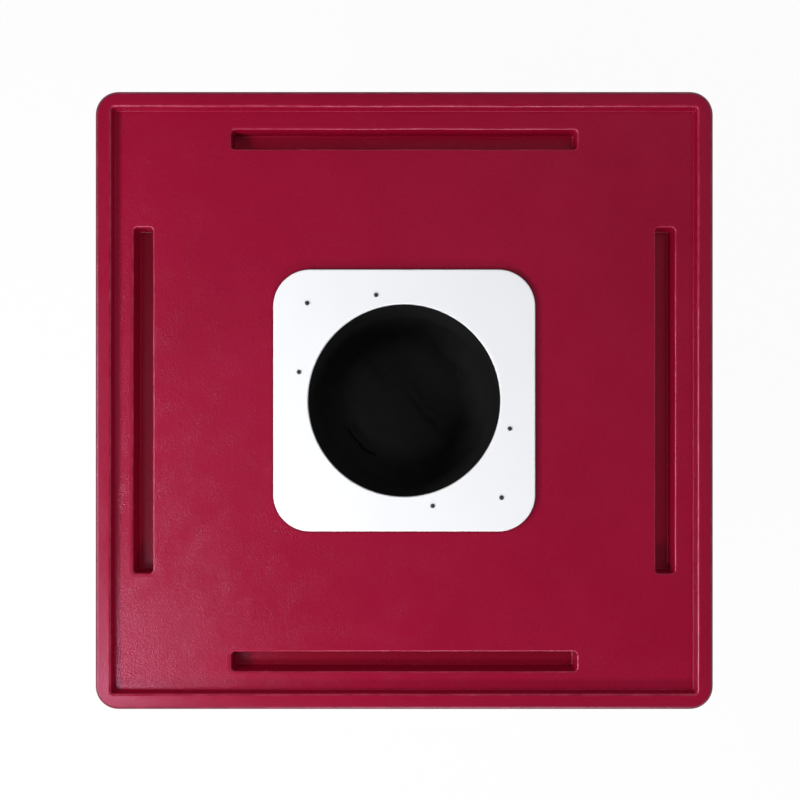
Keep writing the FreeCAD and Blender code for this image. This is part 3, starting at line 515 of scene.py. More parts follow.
def fillBetween(bm, rings, spacing):
    # triangles over the flat area inside the first ring and outside the others, with a grid of inner points
    owners = [vert for ring in rings for vert in ring]
    points = [vert.co.xy for vert in owners]
    edges, start = [], 0
    for ring in rings:
        edges += [(start + step, start + (step + 1) % len(ring)) for step in range(len(ring))]
        start += len(ring)
    tree = kdtree.KDTree(len(points))
    for index, point in enumerate(points):
        tree.insert(point.to_3d(), index)
    tree.balance()
    reach = max(abs(value) for point in points for value in point)
    count = int(reach / spacing)
    for row in range(-count, count + 1):
        for column in range(-count, count + 1):
            point = Vector(((column + 0.5 * (row % 2)) * spacing, row * spacing))
            if tree.find(point.to_3d())[2] > 0.6 * spacing:
                points.append(point)
    coords, _, faces, origins, _, _ = geometry.delaunay_2d_cdt(points, edges, [], 0, 1e-7)
    flat = np.array([tuple(coord) for coord in coords])
    middles = flat[np.array(faces)].mean(axis=1)
    inside = np.zeros(len(middles), bool)
    for first, second in edges:
        (x1, y1), (x2, y2) = points[first], points[second]
        crosses = (y1 > middles[:, 1]) != (y2 > middles[:, 1])
        with np.errstate(divide="ignore", invalid="ignore"):
            at = x1 + (middles[:, 1] - y1) / (y2 - y1) * (x2 - x1)
        inside ^= crosses & (middles[:, 0] < at)
    level = owners[0].co.z
    made = {}

    def vertAt(index):
        known = [origin for origin in origins[index] if origin < len(owners)]
        if known:
            return owners[known[0]]
        if index not in made:
            made[index] = bm.verts.new((*coords[index], level))
        return made[index]

    for face, keep in zip(faces, inside):
        if keep:
            bm.faces.new([vertAt(index) for index in face])
    return list(made.values())


def meshFrom(bm, name, sharpFrom=None):
    # smooth mesh, sharp only where faces meet at more than the given angle
    mesh = bpy.data.meshes.new(name)
    bm.to_mesh(mesh)
    bm.free()
    mesh.shade_smooth()
    if sharpFrom:
        mesh.set_sharp_from_angle(angle=math.radians(sharpFrom))
    return mesh


def makerObject(name, mesh):
    holder = bpy.data.objects.new(name + "_maker", mesh)
    scene.collection.objects.link(holder)
    return holder


def plainMesh(name, holder, keepLayers=False):
    # what the maker object's modifiers give, as a mesh of its own
    depsgraph = bpy.context.evaluated_depsgraph_get()
    made = bpy.data.meshes.new_from_object(holder.evaluated_get(depsgraph), depsgraph=depsgraph,
                                           preserve_all_data_layers=keepLayers)
    holder.modifiers.clear()
    bpy.data.objects.remove(holder)
    made.name = name
    return made


def evaluatedMesh(name, mesh, *modifiers):
    holder = makerObject(name, mesh)
    for kind, settings in modifiers:
        modifier = holder.modifiers.new(kind.lower(), kind)
        for label, value in settings.items():
            setattr(modifier, label, value)
    return plainMesh(name, holder, True)


def finishedMesh(name, bm, *modifiers):
    # mesh with outward faces, smooth shading and the given modifiers applied
    bmesh.ops.recalc_face_normals(bm, faces=bm.faces)
    return evaluatedMesh(name, meshFrom(bm, name), *modifiers)


flatNormals = ("WEIGHTED_NORMAL", {"keep_sharp": True, "weight": 60})


def addPiece(name, mesh, material, replaced, body=None):
    piece = bpy.data.objects.new(name, mesh)
    scene.collection.objects.link(piece)
    mesh.materials.clear()
    mesh.materials.append(material)
    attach(piece, body or nodes[replaced[0]]["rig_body"])
    if replaced:
        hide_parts(*replaced)
    return piece


def clamped(value):
    return min(max(value, 0.0), 1.0)


# moulded top: tray, rim, skirt and troughs as one shell
topLow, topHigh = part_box("table_top")
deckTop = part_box("centre_ring")[0].z
shellWall = 0.004
deckUnder = deckTop - shellWall
tray = {
    "half": topHigh.x,
    "rimTop": topHigh.z,
    "skirtBottom": topLow.z,
    "cornerRadius": 0.030,
    "rimWidth": 0.0205,
    "rimRound": 0.0055,
    "turnStart": 0.0060,      # painted shade darkens the rim from this far inside its outline
    "turnRun": 0.0022,
    "innerRound": 0.0032,
    "footRound": 0.0011,
    "innerCorner": 0.004,
    "leastCorner": 0.0012,
    "draft": 0.0025,          # how far the rim's inner wall leans in on its way down
    "sideRow": 0.009,         # a row this far down keeps the skirt's shading flat
    "deckLand": 0.006,        # flat strip of the deck along the rim
    "edgeFrom": 0.002,        # wear only on rounds this far above the deck
    "channelTop": topHigh.z - shellWall,
    "channelRound": 0.001,
    "skirtRound": 0.0008,
    "mouthRadius": 0.128,
    "mouthSteps": 128,
    "boss": (0.312, 0.007, 0.715),      # place on both axes, radius, bottom
    "bossSteps": 32,
    "cornerSteps": 12,
    "runSteps": 48,
    "roundSteps": 9,
    "spacing": 0.014,
    "wobble": 0.00045,
    "wobbleScale": 11.0,
    "wobbleSeed": 3,
    "wobbleFrom": 0.008,      # nothing drifts this near the outline, and it grows over as much again
}
trough = {
    "length": 0.452,
    "width": 0.0255,
    "depth": 0.020,
    "outerEdge": 0.3535,
    "cornerRadius": 0.005,
    "leastCorner": 0.0008,
    "lean": 0.00175,
    "lip": 0.0026,
    "lipLand": 0.005,
    "floorRound": 0.0018,
    "floorLand": 0.004,       # the floor's painted shade reaches this far up the wall too
    "cornerSteps": 8,
    "longSteps": 44,
    "shortSteps": 4,
}
grainShare = {"rim": 0.35, "trough": 0.5, "deck": 1.0}


def buildTop():
    bm = bmesh.new()
    # the deep layer carries painted shade on the trough floors, the turn layer painted shade at the rim's
    # outer round
    edgeLayer, grainLayer, troughShadeLayer, rimShadeLayer = [
        bm.verts.layers.float.new(name) for name in ("edge", "grain", "deep", "turn")]
    half = tray["half"]
    inner = half - tray["rimWidth"]
    straight = half - tray["cornerRadius"]
    innerStraight = inner - tray["innerCorner"]

    def squareRing(reach, height):
        onOutside = reach > half - 0.6 * tray["rimWidth"]
        radius = max(reach - (straight if onOutside else innerStraight), tray["leastCorner"])
        ring = roundedRing(reach, reach, radius, tray["cornerSteps"], tray["runSteps"], tray["runSteps"])
        return raised(ring, height)

    foot = inner - tray["draft"]
    section = easedOutline([
        (inner + shellWall, deckUnder, 0),
        (inner + shellWall, tray["channelTop"], tray["channelRound"]),
        (half - shellWall, tray["channelTop"], tray["channelRound"]),
        (half - shellWall, tray["skirtBottom"], tray["skirtRound"]),
        (half, tray["skirtBottom"], tray["skirtRound"]),
        (half, tray["rimTop"] - tray["sideRow"], 0),
        (half, tray["rimTop"], tray["rimRound"]),
        (inner, tray["rimTop"], tray["innerRound"]),
        (foot, deckTop, tray["footRound"]),
        (foot - tray["deckLand"], deckTop, 0)], tray["roundSteps"])
    rows = loft(bm, [squareRing(reach, height) for reach, height, _ in section])
    for row, (reach, height, onRound) in zip(rows, section):
        onEdge = height > deckTop + tray["edgeFrom"] and reach < half - 0.4 * tray["rimRound"]
        onTurn = height > tray["rimTop"] - 1.1 * tray["rimRound"]
        for vert in row:
            vert[edgeLayer] = onRound if onEdge else 0.0
            vert[grainLayer] = grainShare["rim"]
            # painted shade along the rim's outer round
            if onTurn:
                vert[rimShadeLayer] = clamped((reach - half + tray["turnStart"]) / tray["turnRun"]) ** 1.2
    underEdge, deckEdge = rows[0], rows[-1]

    deckHoles, underHoles = [], []
    floor = deckTop - trough["depth"]
    middle = trough["outerEdge"] - trough["width"] / 2
    troughSection = easedOutline([
        (trough["lipLand"], deckTop, 0),
        (0.0, deckTop, trough["lip"]),
        (-trough["lean"], floor, trough["floorRound"]),
        (-trough["lean"] - trough["floorLand"], floor, 0)], tray["roundSteps"])
    shellSection = [(shellWall, deckUnder), (shellWall - trough["lean"], floor - shellWall)]
    bossPlace, bossRadius, bossBottom = tray["boss"]
    for side in range(4):
        turn = Matrix.Rotation(math.radians(90 * side), 3, "Z")

        def troughRing(offset, height):
            radius = max(trough["cornerRadius"] + offset, trough["leastCorner"])
            ring = roundedRing(trough["length"] / 2 + offset, trough["width"] / 2 + offset, radius,
                               trough["cornerSteps"], trough["longSteps"], trough["shortSteps"])
            return [turn @ Vector((point.x, point.y - middle, height)) for point in ring]

        rows = loft(bm, [troughRing(offset, height) for offset, height, _ in troughSection])
        for row, (offset, height, onRound) in zip(rows, troughSection):
            for vert in row:
                vert[edgeLayer] = onRound if height > floor + trough["floorLand"] else 0.0
                vert[grainLayer] = grainShare["trough"]
                # painted shade on the floor, fading out up the wall
                vert[troughShadeLayer] = clamped((floor + trough["floorLand"] - height) / trough["floorLand"])
        bm.faces.new(rows[-1])
        deckHoles.append(rows[0])
        centre = (turn @ Vector((bossPlace, -bossPlace, 0))).xy
        boss = circleRing(bossRadius, tray["bossSteps"], centre)
        for rings in ([troughRing(offset, height) for offset, height in shellSection],
                      [raised(boss, height) for height in (deckUnder, bossBottom)]):
            rows = loft(bm, rings)
            bm.faces.new(rows[-1])
            underHoles.append(rows[0])
    mouth = circleRing(tray["mouthRadius"], tray["mouthSteps"])
    rows = loft(bm, [raised(mouth, height) for height in (deckTop, deckUnder)])
    deckHoles.append(rows[0])
    underHoles.append(rows[-1])

    inside = fillBetween(bm, [deckEdge, *deckHoles], tray["spacing"])
    for vert in [*inside, *deckEdge, *[vert for ring in deckHoles for vert in ring]]:
        vert[grainLayer] = grainShare["deck"]
    fillBetween(bm, [underEdge, *underHoles], 2 * tray["spacing"])

    # the moulding is never dead straight: inside the rim's outer round everything drifts a little
    noise.seed_set(tray["wobbleSeed"])
    for vert in bm.verts:
        reach = max(abs(vert.co.x), abs(vert.co.y))
        hold = clamped((half - tray["wobbleFrom"] - reach) / tray["wobbleFrom"])
        drift = noise.noise_vector(vert.co * tray["wobbleScale"]) * tray["wobble"] * hold
        vert.co += Vector((drift.x, drift.y, 0.3 * drift.z))
        vert.co.z = min(vert.co.z, tray["rimTop"])
    return finishedMesh("tableTop", bm, flatNormals)


tableTop = addPiece("tableTop", buildTop(), materials["crimson_plastic"], ["table_top"])
print("top made,", len(tableTop.data.polygons), "faces")


# white ring over the bag's mouth
ringLow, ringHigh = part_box("centre_ring")
ringPlate = {
    "half": ringHigh.x,
    "bottom": ringLow.z,
    "top": ringHigh.z,
    "cornerRadius": 0.048,
    "mouthRadius": 0.125,
    "mouthSteps": 144,
    "round": 0.0016,
    "roundSteps": 5,
    "land": 0.004,
    "cornerSteps": 20,
    "runSteps": 18,
    "spacing": 0.012,
}


def buildRing():
    bm = bmesh.new()
    plate = ringPlate
    half, mouth = plate["half"], plate["mouthRadius"]

    def edgeSection(reach, inwards):
        return easedOutline([(reach, plate["bottom"], 0), (reach, plate["top"], plate["round"]),
                             (reach + inwards, plate["top"], 0)], plate["roundSteps"])

    def squareRing(reach, height):
        return raised(roundedRing(reach, reach, plate["cornerRadius"] + reach - half, plate["cornerSteps"],
                                  plate["runSteps"], plate["runSteps"]), height)

    outer = loft(bm, [squareRing(reach, height) for reach, height, _ in edgeSection(half, -plate["land"])])
    inner = loft(bm, [raised(circleRing(reach, plate["mouthSteps"]), height)
                      for reach, height, _ in edgeSection(mouth, plate["land"])])
    fillBetween(bm, [outer[-1], inner[-1]], plate["spacing"])
    fillBetween(bm, [outer[0], inner[0]], 2 * plate["spacing"])
    return finishedMesh("centreRing", bm, flatNormals)


centreRing = addPiece("centreRing", buildRing(), materials["white_plastic"], ["centre_ring"])
print("ring made,", len(centreRing.data.polygons), "faces")


# geometry node helpers: the tree takes the maker object's mesh and gives a plain mesh
def newTree(name, inputs):
    tree = bpy.data.node_groups.new(name, "GeometryNodeTree")
    tree.interface.new_socket("Geometry", in_out="INPUT", socket_type="NodeSocketGeometry")
    for label, kind in inputs.items():
        tree.interface.new_socket(label, in_out="INPUT", socket_type="NodeSocket" + kind)
    tree.interface.new_socket("Geometry", in_out="OUTPUT", socket_type="NodeSocketGeometry")
    return tree, tree.nodes.new("NodeGroupInput").outputs, tree.nodes.new("NodeGroupOutput").inputs


def closeTree(tree, shape, material, out):
    # instances are made real and take their finish
    real = addNode(tree, "GeometryNodeRealizeInstances", {"Geometry": shape}).outputs[0]
    done = addNode(tree, "GeometryNodeSetMaterial", {"Geometry": real, "Material": material})
    tree.links.new(done.outputs[0], out["Geometry"])
    return tree


def growMesh(name, base, tree, values):
    holder = makerObject(name, base)
    modifier = holder.modifiers.new("nodes", "NODES")
    modifier.node_group = tree
    for item in tree.interface.items_tree:
        if item.in_out == "INPUT" and item.name in values:
            modifier[item.identifier] = values[item.name]
    return plainMesh(name, holder)


def pointMesh(name, points, closed=False, vectors=None):
    # points joined in a line or a ring, or loose points that carry a direction each
    mesh = bpy.data.meshes.new(name)
    count = len(points)
    edges = []
    if closed:
        edges = [(step, (step + 1) % count) for step in range(count)]
    elif vectors is None:
        edges = [(step, step + 1) for step in range(count - 1)]
    mesh.from_pydata([tuple(point) for point in points], edges, [])
    if vectors is not None:
        axis = mesh.attributes.new("axis", "FLOAT_VECTOR", "POINT")
        axis.data.foreach_set("vector", [value for vector in vectors for value in vector])
    return mesh


# screws: a domed head with a cross recess on a tapered shank, at each place where the frame has one
screwShape = {
    "headSides": 20,
    "headRings": 4,
    "recess": (1.15, 0.24, 1.1),      # length and width against the head's radius, depth against its height
    "shankSides": 10,
    "tip": 0.35,                      # width of the shank's end against its top
    "sharpFrom": 35,                  # degrees between two faces
}
screwLook = {
    "ring_screws": {"dome": 0.42, "seed": 11},
    "apron_screws": {"dome": 0.45, "seed": 23},
    "top_screws": {"dome": 0.45, "seed": 31},
    "frame_screws": {"dome": 0.45, "seed": 47},
}


def makeScrewTree():
    tree, given, out = newTree("screws", {
        "Head Radius": "Float", "Head Height": "Float", "Shank Radius": "Float", "Shank Length": "Float",
        "Dome": "Float", "Seed": "Int", "Material": "Material"})
    radius, height, length = given["Head Radius"], given["Head Height"], given["Shank Length"]
    head = addNode(tree, "GeometryNodeMeshCylinder", {
        "Vertices": screwShape["headSides"], "Side Segments": 1, "Fill Segments": screwShape["headRings"],
        "Radius": radius, "Depth": height})
    # lift the head so that it stands on its seat, and let its top fall away towards the edge
    parts = partsOf(tree, addNode(tree, "GeometryNodeInputPosition").outputs[0])
    away = lengthOf(tree, vectorOf(tree, {0: parts[0], 1: parts[1]}))
    share = mathNode(tree, "DIVIDE", away, radius)
    fall = times(tree, times(tree, share, share), times(tree, given["Dome"], height))
    fall = times(tree, fall, mathNode(tree, "GREATER_THAN", parts[2], 0.0))
    lift = mathNode(tree, "SUBTRACT", times(tree, height, 0.5), fall)
    head = addNode(tree, "GeometryNodeSetPosition", {"Geometry": head.outputs["Mesh"],
                                                     "Offset": vectorOf(tree, {2: lift})})
    cut = addNode(tree, "GeometryNodeMeshBoolean", {"Mesh 1": head.outputs[0]}, operation="DIFFERENCE",
                  solver="EXACT")
    sizes = zip((radius, radius, height), screwShape["recess"])
    long, narrow, deep = [times(tree, whole, share) for whole, share in sizes]
    for sizes in ((long, narrow, deep), (narrow, long, deep)):
        bar = addNode(tree, "GeometryNodeMeshCube", {"Size": vectorOf(tree, dict(enumerate(sizes)))})
        bar = addNode(tree, "GeometryNodeTransform", {"Geometry": bar.outputs["Mesh"],
                                                      "Translation": vectorOf(tree, {2: height})})
        tree.links.new(bar.outputs[0], cut.inputs["Mesh 2"])
    shank = addNode(tree, "GeometryNodeMeshCone", {
        "Vertices": screwShape["shankSides"], "Radius Top": given["Shank Radius"],
        "Radius Bottom": times(tree, given["Shank Radius"], screwShape["tip"]), "Depth": length})
    sunk = vectorOf(tree, {2: times(tree, length, -1.0)})
    shank = addNode(tree, "GeometryNodeTransform", {"Geometry": shank.outputs["Mesh"], "Translation": sunk})
    screw = addNode(tree, "GeometryNodeJoinGeometry")
    tree.links.new(shank.outputs[0], screw.inputs[0])
    tree.links.new(cut.outputs["Mesh"], screw.inputs[0])
    axis = addNode(tree, "GeometryNodeInputNamedAttribute", {"Name": "axis"}, data_type="FLOAT_VECTOR")
    stand = addNode(tree, "FunctionNodeAlignRotationToVector", {"Vector": axis.outputs["Attribute"]},
                    axis="Z")
    spin = addNode(tree, "FunctionNodeRandomValue", {"Seed": given["Seed"], 3: math.pi}, data_type="FLOAT")
    spun = addNode(tree, "FunctionNodeEulerToRotation", {0: vectorOf(tree, {2: spin.outputs[1]})}).outputs[0]
    rotation = addNode(tree, "FunctionNodeRotateRotation", {"Rotation": stand.outputs[0], "Rotate By": spun},
                       rotation_space="LOCAL").outputs[0]
    placed = addNode(tree, "GeometryNodeInstanceOnPoints", {
        "Points": given["Geometry"], "Instance": screw.outputs[0], "Rotation": rotation}).outputs[0]
    return closeTree(tree, placed, given["Material"], out)


screwTree = makeScrewTree()


def mergedCopy(name):
    bm = bmesh.new()
    bm.from_mesh(nodes[name].data)
    bmesh.ops.remove_doubles(bm, verts=bm.verts, dist=2e-6)
    return bm


def islandsOf(name):
    # corner points of each separate body in a node, in the mesh's own order
    bm = mergedCopy(name)
    seen = set()
    islands = []
    for start in bm.verts:
        if start in seen:
            continue
        seen.add(start)
        reached = [start]
        for vert in reached:
            for edge in vert.link_edges:
                other = edge.other_vert(vert)
                if other not in seen:
                    seen.add(other)
                    reached.append(other)
        islands.append(np.array([tuple(vert.co) for vert in reached]))
    bm.free()
    return islands


def screwPlace(points):
    # seat, direction of the head, and the sizes of head and shank
    low, high = points.min(axis=0), points.max(axis=0)
    long = int(np.argmax(high - low))
    across = [index for index in range(3) if index != long]
    middle = (low + high) / 2
    away = np.hypot(*(points[:, across] - middle[across]).T)
    headRadius = away.max()
    wide = points[away > 0.98 * headRadius, long]
    sign = 1 if wide.mean() > middle[long] else -1
    outer = high[long] if sign > 0 else low[long]
    seat = wide.min() if sign > 0 else wide.max()
    shankRadius = away[(points[:, long] - seat) * sign < -0.0005].max()
    place = middle.copy()
    place[long] = seat
    axis = np.zeros(3)
    axis[long] = sign
    headHeight = abs(outer - seat)
    return place, axis, (headRadius, headHeight, shankRadius, high[long] - low[long] - headHeight)


def growScrews(name, places, size, look):
    # one size of screw at each of the given places
    base = pointMesh(name + "_places", [place[0] for place in places], vectors=[place[1] for place in places])
    values = dict(zip(("Head Radius", "Head Height", "Shank Radius", "Shank Length"), size))
    values |= {"Dome": look["dome"], "Seed": look["seed"], "Material": materials[slotOf[name]]}
    return growMesh(name, base, screwTree, values)


def addScrews(name):
    places = [screwPlace(points) for points in islandsOf(name)]
    rounded = [tuple(round(value, 5) for value in place[2]) for place in places]
    bm = bmesh.new()
    for size in sorted(set(rounded)):
        chosen = [place for place, own in zip(places, rounded) if own == size]
        bm.from_mesh(growScrews(name, chosen, size, screwLook[name]))
    mesh = meshFrom(bm, name + "_set", screwShape["sharpFrom"])
    addPiece(name + "_set", mesh, materials[slotOf[name]], [name])
    return len(places)


print("screws placed,", sum(addScrews(name) for name in screwLook))


# other boards, plates and tubes: the frame's own shape with its edges eased and marked for wear
edgeEase = {
    "board": 0.0009,
    "plate": 0.00035,
    "moulded": 0.0006,
    "tube": 0.0004,
}


def easedCopy(name, width, material):
    bm = mergedCopy(name)
    bmesh.ops.dissolve_limit(bm, angle_limit=math.radians(0.5), verts=bm.verts, edges=bm.edges)
    mesh = meshFrom(bm, name + "_plain")
    # the bevel's faces take the second slot, which then becomes the wear mask
    mesh.materials.clear()
    mesh.materials.append(material)
    mesh.materials.append(material)
    mesh.polygons.foreach_set("material_index", [0] * len(mesh.polygons))
    made = evaluatedMesh(name + "_eased", mesh, ("BEVEL", {
        "width": width, "segments": 2, "limit_method": "ANGLE", "angle_limit": math.radians(50),
        "use_clamp_overlap": False, "harden_normals": True, "material": 1}))
    onEdge = np.zeros(len(made.polygons), np.int32)
    made.polygons.foreach_get("material_index", onEdge)
    made.polygons.foreach_set("material_index", [0] * len(made.polygons))
    edge = made.attributes.new("edge", "FLOAT", "FACE")
    edge.data.foreach_set("value", onEdge.astype(np.float32))
    return addPiece(name + "_eased", made, material, [name])


for index, side in enumerate(sides):
    easedCopy(f"apron_rail_{side}", edgeEase["board"], materials["crimson_board"])
    easedCopy(f"drawer_front_{side}", edgeEase["board"], materials["crimson_board"])
    easedCopy(f"inner_rail_{side}", edgeEase["board"], woods["y" if index % 2 else "x"])
    easedCopy(f"drawer_tray_{side}", edgeEase["moulded"], materials["black_plastic"])
    easedCopy(f"drawer_runners_{side}", edgeEase["plate"], materials["zinc_steel"])
for corner in corners:
    easedCopy(f"corner_block_{corner}", edgeEase["board"], woods["z"])
    easedCopy(f"leg_tube_{corner}", edgeEase["tube"], materials["black_steel"])
    easedCopy(f"leg_foot_{corner}", edgeEase["moulded"], materials["black_rubber"])
    for part in ("leg_bracket", "brace_upper", "brace_lower"):
        easedCopy(f"{part}_{corner}", edgeEase["plate"], materials["zinc_steel"])
for name in ("leg_pivots", "brace_anchor_pins"):
    easedCopy(name, edgeEase["plate"], materials["zinc_steel"])
easedCopy("hoop_saddles", edgeEase["moulded"], materials["black_plastic"])
print("boards, legs and braces eased")


# drawer pulls: a turned knob, swept round its own axis, with its screw head inside the tray
pull = {
    # section of (radius, distance out from the drawer front, round)
    "section": ((0.0, 0.0, 0), (0.0070, 0.0, 0.0004), (0.0050, 0.0060, 0.0030), (0.0110, 0.0110, 0.0012),
                (0.0110, 0.0180, 0.0040), (0.0, 0.0180, 0)),
    "sweepRadius": 0.004,
    "steps": 48,
    "roundSteps": 6,
    "screw": {"dome": 0.45, "seed": 60},      # the seed goes up by one from drawer to drawer
}


def makeKnobTree():
    tree, given, out = newTree("turnedKnob", {"Sweep Radius": "Float", "Steps": "Int",
                                              "Material": "Material"})
    section = addNode(tree, "GeometryNodeMeshToCurve", {"Mesh": given["Geometry"]}).outputs[0]
    path = addNode(tree, "GeometryNodeCurvePrimitiveCircle", {"Resolution": given["Steps"],
                                                              "Radius": given["Sweep Radius"]}).outputs[0]
    swept = addNode(tree, "GeometryNodeCurveToMesh", {"Curve": path, "Profile Curve": section}).outputs[0]
    joined = addNode(tree, "GeometryNodeMergeByDistance", {"Geometry": swept, "Distance": 1e-5}).outputs[0]
    return closeTree(tree, joined, given["Material"], out)


def buildKnob():
    outline = easedOutline(pull["section"], pull["roundSteps"])
    sweep = pull["sweepRadius"]
    base = pointMesh("knobSection", [(reach - sweep, height, 0.0) for reach, height, _ in outline])
    values = {"Sweep Radius": sweep, "Steps": pull["steps"], "Material": materials["zinc_steel"]}
    return growMesh("knob", base, makeKnobTree(), values)


def addPull(index, side):
    name = f"drawer_pull_{side}"
    turn = Matrix.Rotation(math.radians(90 * index), 4, "Z")
    slimmest = min(islandsOf(name), key=lambda points: np.sort(np.ptp(points, axis=0))[1])
    screw = screwPlace(slimmest)
    low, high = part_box(f"drawer_front_{side}")
    reach = max(abs(value) for value in (*low.xy, *high.xy))
    foot = turn @ Matrix.Translation((0.0, -reach, screw[0][2])) @ Matrix.Rotation(math.radians(-90), 4, "X")
    bm = bmesh.new()
    bm.from_mesh(knob)
    bmesh.ops.transform(bm, matrix=foot, verts=bm.verts)
    bmesh.ops.recalc_face_normals(bm, faces=bm.faces)
    look = pull["screw"] | {"seed": pull["screw"]["seed"] + index}
    bm.from_mesh(growScrews(name, [screw], screw[2], look))
    mesh = meshFrom(bm, name + "_turned", screwShape["sharpFrom"])
    addPiece(name + "_turned", mesh, materials["zinc_steel"], [name])


knob = buildKnob()
for index, side in enumerate(sides):
    addPull(index, side)
print("pulls turned")


# cloth bag under the ring: a tapered wall sewn to a round base, hung from the hoop and let sag
bagCloth = {
    "outline": ((0.1266, 0.7222), (0.1228, 0.6326), (0.0950, 0.5762)),   # (radius, height) down the wall
    "columns": 132,
    "wallRows": 26,
    "baseRows": 15,
    "pleats": 19,
    "pleatDepth": 0.0034,
    "pleatsFrom": 0.12,             # share of the wall under the hem that stays smooth
    "creaseDepth": 0.0030,
    "creaseScale": (26, 42),        # along the creases and across them
    # long slack folds, seen from above: middle, half length, width, depth (all run the same way)
    "folds": ((-0.086, -0.026, 0.062, 0.0075, 0.0110), (-0.072, -0.052, 0.050, 0.0120, -0.0080),
              (0.030, -0.006, 0.066, 0.0080, 0.0085), (0.012, 0.026, 0.050, 0.0150, -0.0045),
              (0.076, 0.074, 0.055, 0.0090, 0.0085), (-0.040, 0.060, 0.050, 0.0100, 0.0055),
              (0.066, -0.050, 0.040, 0.0090, 0.0060)),
    "foldWay": (0.68, -0.73),
    "foldBend": 0.006,
    "rippleDepth": 0.0030,
    "rippleScale": (9, 34),
    "foldsFrom": 0.030,             # no fold this near the hem, full folds this far above the base
    "panelStart": 0.006,            # the base begins this far outside its seam, and is full after the run
    "panelRun": 0.030,
    "frames": 34,
    "settings": {"quality": 6, "mass": 0.0003, "tension_stiffness": 25.0, "compression_stiffness": 25.0,
                 "shear_stiffness": 4.0, "bending_stiffness": 0.5, "air_damping": 2.0},
    "mostSag": 0.012,
    "mostSwell": 0.0004,
    "thickness": 0.0010,
    "hemTube": (0.0046, 14, 0.05),          # radius, sides, pucker
    "hemSteps": 180,
    "pipingTube": (0.0015, 10, 0.04),
    "pipingShift": 0.0014,                  # outwards and down from the seam
    "pipingSlope": 0.6,
    "stitchPitch": 0.0032,
    "stitchShare": 0.8,                     # of the pitch that a stitch takes up
    "threadWidth": 0.0016,
}
nylonFinish = {
    "constants": {"IOR": 1.12, "Sheen Weight": 0.02, "Sheen Roughness": 0.4},
    "tones": ((0.0120, 0.0120, 0.0124, 1.0), (0.0150, 0.0150, 0.0155, 1.0)),
    "toneScale": 22.0,
    # painted shade at the hem and painted light on the base, evening out how the lamps light the bag
    "hem": (0.0045, 0.0045, 0.0047, 1.0),
    "base": (0.0255, 0.0255, 0.0262, 1.0),
    "lit": (1.7, 1.7, 1.7, 1.0),            # tops of the threads against their sides
    "pitch": 0.0009,
    "roughness": (0.82, 0.6),
    "depth": 0.0002,
}
threadFinish = {
    "tones": ((0.006, 0.006, 0.007, 1.0), (0.020, 0.020, 0.022, 1.0)),
    "twistScale": 900.0,
    "roughness": (0.55, 0.75),
}


def makeWeave():
    # threads that go over and under each other
    tree, given, out = newGroup("weave", {"Vector": "vector", "Pitch": "value"}, {"Height": "value"})
    count = mathNode(tree, "DIVIDE", 1.0, given["Pitch"])
    threads = addNode(tree, "ShaderNodeVectorMath", {0: given["Vector"], "Scale": count}, operation="SCALE")
    parts = partsOf(tree, threads.outputs["Vector"])[:2]
    waves = [mathNode(tree, "SINE", times(tree, part, math.pi)) for part in parts]
    ridges = [mathNode(tree, "ABSOLUTE", wave) for wave in waves]
    steps = [mathNode(tree, "FLOOR", part) for part in parts]
    over = mathNode(tree, "PINGPONG", mathNode(tree, "ADD", *steps), 1.0)
    tree.links.new(mixValue(tree, over, *ridges), out["Height"])
    return tree


def makeBlackNylon():
    look = nylonFinish
    material, tree, shader, place = newMaterial("blackNylon", look["constants"])
    cut = addNode(tree, "ShaderNodeUVMap", uv_map="cut").outputs[0]
    threads = placeGroup(tree, weave, {"Vector": cut, "Pitch": look["pitch"]}, "Height")
    # painted shade at the hem, painted light growing down the wall to the base, evening out how the lamps
    # light the inside of the bag
    tone = cloudyTone(tree, place, look["toneScale"], look["tones"])
    tone = mixColour(tree, attributeValue(tree, "low"), look["hem"], tone)
    tone = mixColour(tree, attributeValue(tree, "panel"), tone, look["base"])
    lit = mixColour(tree, 1.0, tone, look["lit"], "MULTIPLY")
    fillInputs(tree, shader, {
        "Base Color": mixColour(tree, remap(tree, threads, 0.0, 1.0, 0.0, 0.5), tone, lit),
        "Roughness": remap(tree, threads, 0.0, 1.0, *look["roughness"]),
    })
    bumped(tree, shader, threads, look["depth"])
    return material


def makeBlackThread():
    look = threadFinish
    material, tree, shader, place = newMaterial("blackThread")
    twist = noiseAt(tree, place, look["twistScale"], 3.0)
    fillInputs(tree, shader, {
        "Base Color": mixColour(tree, twist, *look["tones"]),
        "Roughness": remap(tree, twist, 0.3, 0.7, *look["roughness"]),
    })
    return material


weave = makeWeave()
materials["black_nylon"] = makeBlackNylon()
materials["black_thread"] = makeBlackThread()


def wallPoint(share):
    # point of the wall's outline at a share of its length
    points = [Vector(point) for point in bagCloth["outline"]]
    lengths = [(second - first).length for first, second in zip(points, points[1:])]
    along = share * sum(lengths)
    for first, second, length in zip(points, points[1:], lengths):
        if along <= length + 1e-9:
            return first.lerp(second, along / length)
        along -= length
    return points[-1]


